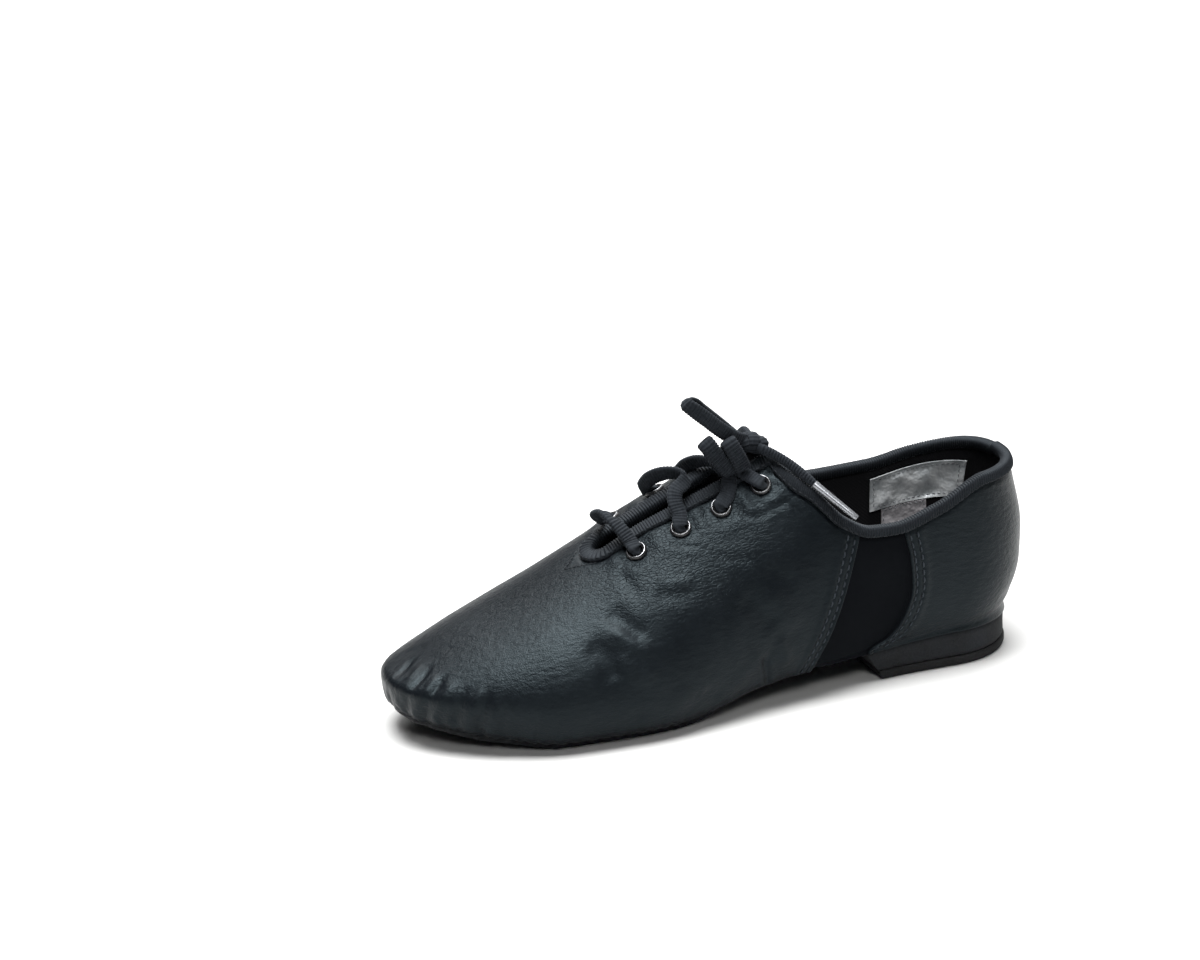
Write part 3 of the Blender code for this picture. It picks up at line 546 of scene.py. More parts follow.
def leather_material():
    """Soft black garment leather: a fine pebble grain, short wrinkles and a broad satin sheen."""
    made, tree, shader = material(
        "black_leather", (0.0034, 0.0044, 0.0058), 0.36,
        Specular_IOR_Level=0.17, Specular_Tint=(0.72, 0.92, 1.0, 1),
    )
    at = place(tree)
    wide = noise(tree, at, 26, 3)
    fine = noise(tree, at, 2600, 3)
    grain = cells(tree, at, 1250)
    short = noise(tree, place(tree, scale=(1, 0.45, 1), turn=(0.3, 0.2, 0.5)), 560, 5, 0.62)
    crackle = cells(tree, place(tree, scale=(1, 0.5, 1), turn=(0.55, 0.1, 0.2)), 820)
    worn = maths(tree, "MULTIPLY", near(tree, WORN_AT, WORN_REACH), spread(tree, wide, 0.35, 0.6, 0.35, 1))
    clouds = spread(tree, wide, 0.35, 0.65, 0, 1)
    satin = spread(tree, wide, 0.3, 0.7, 0.32, 0.39)
    link(
        tree, shader,
        Base_Color=blend_colour(tree, clouds, (0.0024, 0.0032, 0.0045), (0.0044, 0.0056, 0.0072)),
        Roughness=maths(tree, "ADD", satin, spread(tree, fine, 0.3, 0.7, -0.03, 0.04)),
    )
    bump(
        tree, shader,
        (maths(tree, "MULTIPLY", spread(tree, crackle, 0, 0.16, 0, 1), worn), 0.00022, 0.55),
        (spread(tree, short, 0.35, 0.68, 0, 1), 0.00024, 0.55),
        (spread(tree, grain, 0, 0.22, 0, 1), 0.00008, 0.45),
        (fine, 0.00004, 0.35),
    )
    return made


def stretch_material():
    """Matte black stretch cloth with a fine knit."""
    made, tree, shader = material(
        "stretch_cloth", (0.0022, 0.0029, 0.0042), 0.86, Specular_IOR_Level=0.07,
        Sheen_Weight=0.012, Sheen_Roughness=0.5, Sheen_Tint=(0.75, 0.88, 1.0, 1),
    )
    knit = noise(tree, place(tree, scale=(1, 1, 0.5)), 2300, 2)
    wide = noise(tree, place(tree), 40, 2)
    link(tree, shader, Roughness=spread(tree, wide, 0.3, 0.7, 0.80, 0.92))
    bump(tree, shader, (knit, 0.00008, 0.5), (wide, 0.0006, 0.15))
    return made


def lining_material():
    """Black twill inside the shoe."""
    made, tree, shader = material("lining_twill", (0.010, 0.010, 0.011), 0.92, Specular_IOR_Level=0.2)
    wave = node(tree, "ShaderNodeTexWave", Scale=420)
    wave.bands_direction = "DIAGONAL"
    link(tree, wave, Vector=place(tree))
    fuzz = noise(tree, place(tree), 1700, 3)
    link(tree, shader, Base_Color=blend_colour(tree, fuzz, (0.006, 0.006, 0.007), (0.016, 0.016, 0.018)))
    bump(tree, shader, (wave.outputs["Fac"], 0.00012, 0.5), (fuzz, 0.0001, 0.4))
    return made


def tape_material(name, light, dark, rough):
    """Woven tape: threads run along it, and the ribs are in its mesh."""
    made, tree, shader = material(
        name, dark, rough, Specular_IOR_Level=0.22, Specular_Tint=(0.78, 0.90, 1.0, 1),
        Sheen_Weight=0.07, Sheen_Roughness=0.4, Sheen_Tint=(0.80, 0.90, 1.0, 1),
    )
    threads = noise(tree, place(tree, "UV", scale=(0.35, 5.0, 1)), 900, 3)
    fuzz = noise(tree, place(tree), 3200, 3)
    wide = spread(tree, noise(tree, place(tree), 160, 2), 0.3, 0.7, 0.5, 1.0)
    share = maths(tree, "MULTIPLY", spread(tree, threads, 0.35, 0.7, 0, 1), wide)
    link(tree, shader, Base_Color=blend_colour(tree, share, dark, light))
    bump(tree, shader, (threads, 0.00008, 0.5), (fuzz, 0.00006, 0.5))
    return made


def rubber_material(name, tone):
    """Matte moulded rubber with a fine, slightly dusty surface."""
    made, tree, shader = material(name, tone, 0.78, Specular_IOR_Level=0.35)
    at = place(tree)
    speck = noise(tree, at, 1500, 4)
    wide = noise(tree, at, 60, 3)
    dusty = tuple(c * 1.9 for c in tone)
    link(
        tree, shader,
        Base_Color=blend_colour(tree, spread(tree, wide, 0.45, 0.75, 0, 1), tone, dusty),
        Roughness=spread(tree, speck, 0.3, 0.7, 0.70, 0.90),
    )
    bump(tree, shader, (speck, 0.00008, 0.5), (wide, 0.0004, 0.12))
    return made


def suede_material():
    """The sole's napped walking face."""
    made, tree, shader = material("sole_suede", (0.012, 0.012, 0.013), 0.95, Specular_IOR_Level=0.15)
    nap = noise(tree, place(tree, scale=(1, 0.5, 1)), 900, 5, 0.7)
    wear = spread(tree, noise(tree, place(tree), 45, 4), 0.45, 0.72, 0, 1)
    link(tree, shader, Base_Color=blend_colour(tree, wear, (0.010, 0.010, 0.011), (0.045, 0.043, 0.041)))
    bump(tree, shader, (nap, 0.00025, 0.6))
    return made


def gloss_material(name, tone, rough, metallic=0.0, scuffed=0.7):
    """Smooth hard finish with faint scuffs."""
    made, tree, shader = material(name, tone, rough, metallic)
    scuff = noise(tree, place(tree), 1600, 4)
    link(tree, shader, Roughness=spread(tree, scuff, 0.35, 0.75, rough * 0.9, rough * (1 + scuffed)))
    bump(tree, shader, (scuff, 0.00001, 0.15 * scuffed))
    return made


def satin_label_material(name, light, dark):
    """Silvery woven satin, softly creased; its colour is painted shade in the creases' troughs and painted
    sheen on their ridges.
    """
    made, tree, shader = material(name, light, 0.34, 0.35)
    weave = noise(tree, place(tree, "UV", scale=(1, 0.12, 1)), 1500, 2)
    crease_and_shade = noise(tree, place(tree), 130, 3)
    # painted shade and sheen: the noise that raises the creases also darkens the colour in their troughs and
    # lightens it on their ridges
    link(
        tree, shader,
        Base_Color=blend_colour(tree, spread(tree, crease_and_shade, 0.38, 0.62, 0, 1), dark, light),
        Roughness=spread(tree, weave, 0.3, 0.7, 0.32, 0.5),
    )
    bump(tree, shader, (crease_and_shade, 0.0030, 0.7), (weave, 0.00006, 0.5))
    return made


LEATHER = leather_material()
STRETCH = stretch_material()
LINING = lining_material()
RIBBED = tape_material("binding_tape", (0.0110, 0.0125, 0.0155), (0.0034, 0.0041, 0.0055), 0.62)
LACE = tape_material("lace_weave", (0.0160, 0.0180, 0.0220), (0.0042, 0.0050, 0.0066), 0.78)
THREAD = tape_material("sewing_thread", (0.042, 0.050, 0.060), (0.016, 0.020, 0.025), 0.5)
DARK_THREAD = tape_material("dark_thread", (0.020, 0.021, 0.024), (0.006, 0.0065, 0.0075), 0.6)
HEEL_RUBBER = rubber_material("heel_rubber", (0.0046, 0.0057, 0.0075))
TIP_RUBBER = rubber_material("heel_tip_rubber", (0.0050, 0.0052, 0.0058))
SUEDE = suede_material()
BLACK_METAL = gloss_material("black_enamel", (0.010, 0.010, 0.011), 0.28)
# nickel for the eyelets' crests: worn metal, and also a painted highlight along the crest
WORN_GLINT_METAL = gloss_material("worn_glint_nickel", (0.42, 0.43, 0.45), 0.30, 1.0, 0.3)
AGLET_PLASTIC = gloss_material("aglet_film", (0.30, 0.31, 0.33), 0.26, 0.7, 0.2)
# each tab's light tone is painted sheen on its crease ridges and its dark tone is painted shade in the
# troughs
LABEL = satin_label_material("label_satin", (0.93, 0.96, 0.97), (0.62, 0.66, 0.68))
TAG = satin_label_material("tag_cloth", (0.80, 0.77, 0.80), (0.62, 0.60, 0.62))
LABEL_THREAD = tape_material("label_thread", (0.34, 0.35, 0.36), (0.20, 0.21, 0.22), 0.6)


# Mesh helpers

def mesh_piece(name, points, faces, materials, slots=None, uv=None, smooth_angle=None):
    """A mesh object from arrays of points and faces, with a material number for each face."""
    mesh = bpy.data.meshes.new(name)
    mesh.from_pydata([tuple(p) for p in points], [], [tuple(int(v) for v in f) for f in faces])
    for m in materials:
        mesh.materials.append(m)
    if slots is not None:
        mesh.polygons.foreach_set("material_index", np.asarray(slots, np.int32))
    if uv is not None:
        layer = mesh.uv_layers.new(name="UVMap")
        corners = np.zeros(len(mesh.loops), np.int32)
        mesh.loops.foreach_get("vertex_index", corners)
        layer.data.foreach_set("uv", np.asarray(uv, np.float32)[corners].ravel())
    mesh.shade_smooth()
    if smooth_angle:
        mesh.set_sharp_from_angle(angle=math.radians(smooth_angle))
    obj = bpy.data.objects.new(name, mesh)
    bpy.context.scene.collection.objects.link(obj)
    return obj


def grid_faces(rows, columns, around_rows=False, around_columns=False, start=0):
    """Quads over a grid of points, closed round either way."""
    r = np.arange(rows if around_rows else rows - 1)
    c = np.arange(columns if around_columns else columns - 1)
    r, c = np.meshgrid(r, c, indexing="ij")
    n, m = (r + 1) % rows, (c + 1) % columns
    quads = np.stack([r * columns + c, n * columns + c, n * columns + m, r * columns + m], -1)
    return quads.reshape(-1, 4) + start


def outward(obj):
    """Turns the faces outward, by the signed volume of the closed mesh."""
    mesh = obj.data
    co = np.array([v.co for v in mesh.vertices])
    mesh.calc_loop_triangles()
    tri = np.array([t.vertices for t in mesh.loop_triangles])
    volume = np.einsum("ij,ij->i", co[tri[:, 0]], np.cross(co[tri[:, 1]], co[tri[:, 2]])).sum()
    if volume < 0:
        mesh.flip_normals()
    return obj


def tube_faces(rows, sides, start=0):
    """Faces of a tube of points [row][side], closed at both ends."""
    faces = [tuple(f) for f in grid_faces(rows, sides, around_columns=True, start=start)]
    last = start + (rows - 1) * sides
    return faces + [tuple(range(start, start + sides)), tuple(range(last, last + sides))[::-1]]


def uv_grid(along, across):
    return np.stack(np.broadcast_arrays(along[:, None], across[None, :]), -1).reshape(-1, 2)


def ring_about(axis, beside, count):
    """Directions all round an axis, and their angles."""
    angle = math.tau * np.arange(count) / count
    side = unit(np.cross(axis, beside))
    return side[None] * np.cos(angle)[:, None] + np.cross(axis, side)[None] * np.sin(angle)[:, None], angle


def piece(obj, slot, *nodes):
    """Rides with the shoe and stands for its CAD nodes, which it hides; its slot is not used."""
    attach(obj, "root")
    if nodes:
        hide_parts(*nodes)
    return obj


LACE_SIDES = 16
LACE_PITCH = 0.00115  # of the lace's ribs
TIGHT_RIB = 0.10  # their height, as a share of the lace's thickness, where it is pulled tight
LOOSE_RIB = 0.16
STITCH_SIDES = 6
STITCH_TALL = 0.55  # a stitch's thickness, as a share of its width


def swept(name, route, width, thick, side, rib=TIGHT_RIB, square=0.55):
    """A flat woven lace swept along a route, its width lying along the given direction, with ribs."""
    count = len(route)
    tangent = unit(np.gradient(route, axis=0))
    side = np.broadcast_to(np.asarray(side, float), route.shape)
    side = unit(side - tangent * np.sum(side * tangent, 1, keepdims=True))
    up = np.cross(side, tangent)
    run = run_of(route)
    wave = rib * np.cos(math.tau * run / LACE_PITCH)
    width = np.broadcast_to(width, (count,)) * (1 + 0.25 * wave) / 2
    thick = np.broadcast_to(thick, (count,)) * (1 + wave) / 2
    angle = math.tau * (np.arange(LACE_SIDES) + 0.5) / LACE_SIDES
    across = np.sign(np.cos(angle)) * np.abs(np.cos(angle)) ** square
    over = np.sign(np.sin(angle)) * np.abs(np.sin(angle)) ** 0.8
    rows = (
        route[:, None]
        + side[:, None] * (across[None] * width[:, None])[..., None]
        + up[:, None] * (over[None] * thick[:, None])[..., None]
    )
    uv = uv_grid(run, np.arange(LACE_SIDES) * 2 * LACE_WIDTH / LACE_SIDES)
    faces = tube_faces(count, LACE_SIDES)
    return outward(mesh_piece(name, rows.reshape(-1, 3), faces, [LACE], uv=uv, smooth_angle=70))


def stitches(name, paths, size, thread):
    """Rows of sunk stitches: each path is its points and the directions away from the surface."""
    pitch, long, wide = size
    steps = np.linspace(-0.5, 0.5, 7)
    shape = np.sqrt(np.clip(1 - (2 * steps) ** 4, 0.04, 1))
    lift = (shape - 0.55) * wide * STITCH_TALL
    angle = math.tau * np.arange(STITCH_SIDES) / STITCH_SIDES
    points, faces, uvs = [], [], []
    for route, out in paths:
        run = run_of(route)
        count = max(int(run[-1] / pitch), 1)
        for k in range(count):
            at = (k + 0.5) * run[-1] / count + steps * long
            p = read_at(at, run, route)
            n = unit(read_at(at, run, out))
            side = unit(np.cross(n, unit(np.gradient(p, axis=0))))
            rows = (
                p[:, None]
                + n[:, None] * lift[:, None, None]
                + side[:, None] * (np.cos(angle)[None] * (shape * wide / 2)[:, None])[..., None]
                + n[:, None] * (np.sin(angle)[None] * (shape * wide * STITCH_TALL / 2)[:, None])[..., None]
            )
            faces += tube_faces(len(steps), STITCH_SIDES, len(points) * len(steps) * STITCH_SIDES)
            points.append(rows.reshape(-1, 3))
            uvs.append(uv_grid(at, angle * wide))
    return outward(mesh_piece(name, np.vstack(points), faces, [thread], uv=np.vstack(uvs)))


# The upper's relief

# Creases in the leather: half width and depth in mm (a trough is negative), then points in mm
CREASES = (
    # below the throat and the eyelets
    (2.4, -0.60, (15, -136, 58), (23, -135, 54), (31, -133, 49)),
    (1.2, -0.85, (17, -86, 78), (22, -82, 74), (23, -75, 74)),
    (1.4, -0.90, (17, -89, 77), (23, -88, 71), (24, -80, 72), (24, -70, 76)),
    (1.4, -0.80, (13, -101, 75), (20, -102, 70), (23, -102, 67)),
    (1.3, -0.75, (18, -91, 75), (24, -89, 70)),
    (1.1, -0.80, (15, -120, 66), (18, -119, 65), (22, -114, 64), (25, -106, 63)),
    (1.2, -0.60, (10, -134, 60), (15, -134, 59), (18, -134, 57)),
    (1.2, -0.65, (14, -79, 84), (18, -72, 83), (22, -68, 79)),
    (1.1, -0.55, (20, -97, 70), (27, -94, 64)),
    (1.8, -0.60, (27, -104, 61), (30, -96, 58), (31, -86, 57)),
    (1.0, -0.50, (22, -76, 76), (26, -70, 72), (28, -66, 66)),
    (1.0, -0.50, (24, -79, 72), (27, -74, 68)),
    (1.0, -0.50, (21, -108, 66), (26, -100, 63)),
    # the soft folds of the outer side
    (4.0, -1.45, (27, -145, 47), (34, -140, 42), (39, -134, 39)),
    (3.4, 1.10, (33, -146, 42), (39, -140, 37), (42, -133, 32)),
    (5.0, -1.60, (34, -156, 37), (38, -151, 34), (43, -148, 25)),
    (4.0, 0.90, (39, -146, 34), (43, -141, 28), (44, -133, 26)),
    (3.0, -0.65, (30, -128, 51), (33, -121, 50), (34, -113, 51)),
    (3.0, 0.55, (27, -127, 54), (31, -120, 53), (31, -112, 54)),
    # the ball and the waist
    (3.5, -0.90, (43, -115, 16), (41, -108, 11)),
    (1.7, -1.50, (39, -89, 23), (38, -88, 17), (36, -86, 8)),
    (3.0, 1.00, (38, -83, 29), (36, -79, 16)),
    (2.5, -0.70, (37, -86, 18), (36, -80, 10)),
    (5.5, -1.10, (36, -96, 47), (38, -84, 33)),
    (5.0, 0.90, (36, -88, 46), (37, -74, 30)),
    (4.0, -0.70, (33, -86, 54), (34, -74, 46)),
    (3.5, 0.50, (38, -104, 36), (40, -98, 22)),
    (3.0, -0.60, (44, -144, 14), (44, -139, 10)),
    (4.5, 0.60, (44, -119, 18), (43, -130, 10)),
    (4.0, 0.60, (40, -106, 10), (40, -95, 20), (39, -90, 26)),
    (4.0, -0.40, (37, -74, 32), (38, -84, 25), (38, -89, 18)),
    (1.4, -0.40, (40, -100, 12), (39, -98, 6)),
    # the toe's gathers
    (1.5, -0.95, (-3, -217, 6), (-2, -219, 15), (-1, -215, 23), (-7, -207, 27)),
    (1.5, 0.60, (2, -217, 7), (3, -218, 15), (5, -214, 23), (0, -206, 28)),
    (1.6, -1.10, (5, -214, 5), (7, -216, 13), (10, -213, 23), (5, -204, 28)),
    (1.6, 0.70, (10, -212, 6), (11, -214, 13), (15, -210, 22), (10, -203, 27)),
    (1.6, -1.20, (13, -209, 5), (14, -211, 12), (17, -208, 22), (14, -202, 27)),
    (1.6, 0.80, (16, -206, 6), (17, -208, 11), (21, -206, 21), (19, -200, 26)),
    (1.6, -1.40, (22, -203, 11), (25, -201, 19), (23, -196, 25)),
    (1.7, 0.90, (24, -197, 6), (25, -199, 11), (28, -197, 19), (27, -192, 26)),
    (1.6, -1.00, (26, -194, 5), (27, -195, 10), (30, -194, 18), (29, -190, 25)),
    (1.8, 0.65, (29, -190, 6), (30, -192, 10), (32, -190, 17), (32, -188, 22)),
    (1.8, -0.70, (31, -187, 4), (32, -188, 8), (34, -188, 16), (33, -187, 22)),
    (1.2, -1.30, (25, -202, 12), (24, -203, 9), (21, -202, 3)),
    (1.0, -0.60, (37, -178, 5), (38, -177, 13), (39, -177, 17)),
    (0.8, -0.50, (40, -170, 5), (41, -170, 13), (42, -169, 15)),
    (0.8, -0.50, (42, -158, 5), (43, -158, 12), (43, -159, 15)),
    (0.8, -0.50, (43, -150, 4), (43, -149, 11), (44, -149, 14)),
    (0.8, -0.70, (16, -207, 9), (14, -205, 3)),
    (0.8, -0.70, (29, -194, 9), (27, -193, 3)),
    (0.8, -0.60, (34, -185, 9), (33, -184, 3)),
    (1.2, -0.90, (3, -219, 15), (4, -212, 3)),
    (1.2, -0.90, (-6, -219, 17), (-5, -213, 3)),
    (1.5, -0.80, (-14, -216, 18), (-12, -210, 3)),
    (1.3, -1.00, (-22, -210, 18), (-20, -205, 2)),
    (2.4, -0.50, (-14, -214, 20), (-10, -202, 29)),
    (2.4, -0.50, (-24, -207, 16), (-17, -197, 27)),
    (1.3, -0.80, (-29, -202, 15), (-26, -197, 2)),
    (1.2, -0.70, (-35, -192, 13), (-33, -189, 2)),
    (1.2, -0.60, (-40, -180, 12), (-39, -178, 2)),
    # the inner side, which the photo doesn't show
    (5.0, -0.70, (-36, -150, 34), (-40, -140, 26)),
    (2.0, -0.50, (-16, -128, 62), (-26, -124, 55)),
    (1.6, -0.50, (-15, -100, 74), (-24, -96, 66)),
    (1.6, -0.50, (-16, -84, 80), (-25, -82, 70)),
    (3.5, -0.80, (-41, -116, 16), (-38, -108, 10)),
    (1.8, -1.10, (-35, -92, 22), (-33, -90, 8)),
    (3.0, 0.60, (-35, -84, 27), (-33, -80, 14)),
    # the heel
    (5.0, -0.35, (27, -6, 60), (30, 4, 50)),
    (1.4, -0.30, (30, -16, 56), (30, -8, 53)),
    (2.2, -0.30, (20, 24, 24), (28, 12, 22)),
)
EYELET_DIMPLE = 0.0006  # how deep an eyelet pulls the leather in
DIMPLE_REACH = 0.0052
DIMPLE_RIM = (0.0085, 0.0028)  # distance and half width of the low rim round it
RUFFLE_PITCH = 0.0046  # of the leather gathered over the forefoot's sole
RUFFLE = 0.00022
RUFFLE_HEIGHT = 0.0055
BULGE = (0.00045, 0.0035, 0.0030)  # of the leather over the sole: how far, its height and half height
SEAM_ROWS = (0.0019, 0.0050)  # distance of the two rows of stitches from the leather's edge
SEAM_REACH = 0.016  # the seam's relief ends here
PANEL_REACH = 0.00015  # the stretch cloth ends this far before the leather's edge
LINING_PLAY = 0.0002
THROAT_TRIANGLE = ((-7.2, -141.2), (0.2, -151.0), (8.6, -141.2))  # in plan, in mm

# The binding
BINDING_SHOWN = 0.0031  # the tape's width round the collar below its rounded fold
BINDING_GROOVE = (0.0005, 0.0010)  # depth and half width of the leather's groove along the tape
BINDING_OVER = 0.0012  # height of its fold over the wall's edge
BINDING_TURN = (22, 50, 75, 90, 105, 130, 158)  # degrees round the fold
BINDING_PROFILE = (
    # share of the width below the edge, height over the leather
    (1.0, 0.0002), (0.97, 0.0008), (0.88, 0.0011), (0.7, 0.00125),
    (0.5, 0.0013), (0.28, 0.0013), (0.1, 0.0012),
)
BINDING_PITCH = 0.00105  # of its ribs
BINDING_RIB = 0.00024
RIB_POINTS = 5

# Stitches: pitch, length and width
BINDING_STITCH = (0.0024, 0.0017, 0.00042)
PANEL_STITCH = (0.0030, 0.0022, 0.00062)
THROAT_STITCH = (0.0016, 0.0014, 0.00042)
LABEL_STITCH = (0.0020, 0.0014, 0.00036)
# and how high each row lies over its leather or cloth
BINDING_SEWN = 0.00118
PANEL_SEWN = 0.00022
THROAT_SEWN = 0.00012
LABEL_SEWN = 0.00008


def crease_relief(points):
    """Depth of the creases at each point."""
    total = np.zeros(len(points))
    for half, depth, *route in CREASES:
        line = smooth_route(np.array(route) * MM, 14)
        half, depth = half * MM, depth * MM
        low, high = line.min(0) - 5 * half, line.max(0) + 5 * half
        close = np.where(((points > low) & (points < high)).all(1))[0]
        if not len(close):
            continue
        best = np.full(len(close), 1.0)
        share = np.zeros(len(close))
        steps = line[1:] - line[:-1]
        for k, way in enumerate(steps):
            t = np.clip((points[close] - line[k]) @ way / (way @ way), 0, 1)
            away = np.linalg.norm(points[close] - line[k] - t[:, None] * way, axis=1)
            closer = away < best
            best = np.where(closer, away, best)
            share = np.where(closer, (k + t) / len(steps), share)
        taper = smooth(np.minimum(share, 1 - share) / 0.25 + 0.15)
        x = (best / half) ** 2
        total[close] += depth * taper * (np.exp(-x) - 0.30 * np.exp(-x / 5))
    return total


def eyelet_seats():
    """Middle and direction of each eyelet, the outer row first, from the toe back."""
    seats = []
    for turn in (90, 270):
        for line in wall_lines(np.array([(at, turn, 0, 0) for at in EYELETS_AT], float)):
            p = read_line(line, np.array([EYELET_INSET]))[0][0]
            seats.append((p, surface_normal(p)))
    return seats


def seam_relief(d):
    """Height of the turned leather edge at a distance from it; over the stretch panel it is negative."""
    edge = -0.0007 + 0.0010 * smooth((d + 0.00030) / 0.0005)
    fold = 0.00048 * smooth((d + 0.0002) / 0.0005) * (1 - smooth((d - 0.0062) / 0.0030))
    slope = 0.0003 * (1 - smooth((d - 0.0004) / 0.0016))
    grooves = sum(-0.00030 * np.exp(-(((d - at) / 0.00055) ** 2)) for at in SEAM_ROWS)
    return np.where(d < 0.0004, edge + fold, slope + fold + grooves)


def seam_distance(at):
    """Distance of a station from the leather's nearer edge; over the stretch panel it is negative."""
    return np.where(at > (FRONT_SEAM_AT + REAR_SEAM_AT) / 2, at - FRONT_SEAM_AT, REAR_SEAM_AT - at) * LENGTH


RING = fine_ring()
BARE = wall_grid(RING)
BARE_NORMALS = grid_normals(BARE)
ON_SIDE = ((RING[:, 1] == 90) | (RING[:, 1] == 270)) & (RING[:, 0] < THROAT_AT)
SEATS = eyelet_seats()


def creased(points, out, scale=1.0):
    """Points shifted along the normals by the creases and by the dimples round the eyelets."""
    flat = points.reshape(-1, 3)
    shift = crease_relief(flat)
    rim, width = DIMPLE_RIM
    for middle, _ in SEATS:
        away = np.linalg.norm(flat - middle, axis=1)
        shift -= EYELET_DIMPLE * np.exp(-((away / DIMPLE_REACH) ** 2))
        shift += 0.6 * EYELET_DIMPLE * np.exp(-(((away - rim) / width) ** 2))
    return points + out * (shift.reshape(points.shape[:-1]) * scale)[..., None]


def gathered(grid, out):
    """The leather drawn over the forefoot's sole in small ruffles."""
    foot = grid[:, -1]
    run = run_of(foot)
    height = grid[..., 2] - foot[:, None, 2]
    along = run / RUFFLE_PITCH + 0.35 * np.sin(run / 0.019) + 0.2 * np.sin(run / 0.0071)
    strength = smooth((share_at(foot[:, 1]) - 0.56) / 0.08) * (0.6 + 0.4 * np.sin(run / 0.013) ** 2)
    wave = (np.cos(math.tau * along) * strength)[:, None] * np.exp(-((height / RUFFLE_HEIGHT) ** 2))
    most, middle, half = BULGE
    bulge = most * strength[:, None] * np.exp(-(((height - middle) / half) ** 2))
    return grid + out * (RUFFLE * wave + bulge)[..., None]


def binding_depth():
    """How far down each station's line the binding's lower edge lies."""
    width = BINDING_SHOWN + (BINDING_THROAT - BINDING_SHOWN) * smooth((RING[:, 0] - 0.33) / 0.1)
    edge = BARE[:, 0]
    along = unit(np.roll(edge, -1, 0) - np.roll(edge, 1, 0))
    square = np.linalg.norm(np.cross(unit(edge - BARE[:, UNDER_EDGE]), along), axis=-1)
    return width / np.clip(square, 0.6, 1)


def dressed():
    """The outer face of the wall with its seams, creases and gathers."""
    distance = seam_distance(RING[:, 0])
    relief = np.where(ON_SIDE & (distance < SEAM_REACH), seam_relief(distance), 0)
    down = np.linalg.norm(BARE[:, 1] - BARE[:, 0], axis=1)[:, None] * np.arange(WALL_ROWS)
    depth, half = BINDING_GROOVE
    groove = depth * np.exp(-(((down - binding_depth()[:, None]) / half) ** 2))
    grid = BARE + BARE_NORMALS * (relief[:, None] - groove)[..., None]
    return gathered(creased(grid, BARE_NORMALS), BARE_NORMALS)


DRESSED = dressed()


def inner_targets(foot):
    """Where each station's line under the foot would meet the one across the shoe, in plan."""
    centre = column(SECTIONS, SECTION_COLUMNS, "centre", share_at(foot[:, 1])) * BALL_WIDTH
    middle = np.stack([centre, foot[:, 1]], -1)
    fan = ~ON_SIDE
    middle[fan] = np.stack([throat_line(RING[fan, 0]), BACK - RING[fan, 0] * LENGTH], -1)
    return middle


def under_rows(foot, count):
    """Rows under the foot: the turned-in margin, and the whole width across the waist."""
    at = share_at(foot[:, 1])
    middle = inner_targets(foot)
    reach = np.linalg.norm(middle - foot[:, :2], axis=1)
    closed = smooth((at - WAIST_AT[0] + 0.05) / 0.05) * smooth((WAIST_AT[1] + 0.05 - at) / 0.05)
    share = MARGIN / reach + (1 - MARGIN / reach) * closed
    rows = []
    for k in range(1, count + 1):
        xy = foot[:, :2] + (middle - foot[:, :2]) * (share * k / count)[:, None]
        rows.append(np.column_stack([xy, floor_line(share_at(xy[:, 1]))]))
    return np.stack(rows, 1)


def upper():
    """Leather front and heel, stretch panels and lining, as one shell with a real wall."""
    under = under_rows(BARE[:, -1], UNDER_ROWS)
    kept = np.unique(np.r_[np.arange(0, WALL_ROWS - 1, 3), WALL_ROWS - 1])
    normals = BARE_NORMALS[:, kept]
    lining = creased(BARE[:, kept], normals, 0.5) - normals * (WALL + LINING_PLAY)
    shell = np.concatenate([DRESSED, under, (under + np.array([0, 0, WALL]))[:, ::-1], lining[:, ::-1]], 1)
    count, rows = shell.shape[:2]
    faces = grid_faces(count, rows, around_rows=True, around_columns=True)
    station, row = np.divmod(np.arange(count * rows), rows)
    cloth = ON_SIDE & (seam_distance(RING[:, 0]) < PANEL_REACH)
    panel = cloth[station] & cloth[(station + 1) % count]
    slots = np.where(row >= WALL_ROWS + UNDER_ROWS, 2, np.where(panel & (row < WALL_ROWS - 1), 1, 0))
    obj = mesh_piece("upper_shell", shell.reshape(-1, 3), faces, [LEATHER, STRETCH, LINING], slots)
    return piece(outward(obj), "upper_leather", "upper")


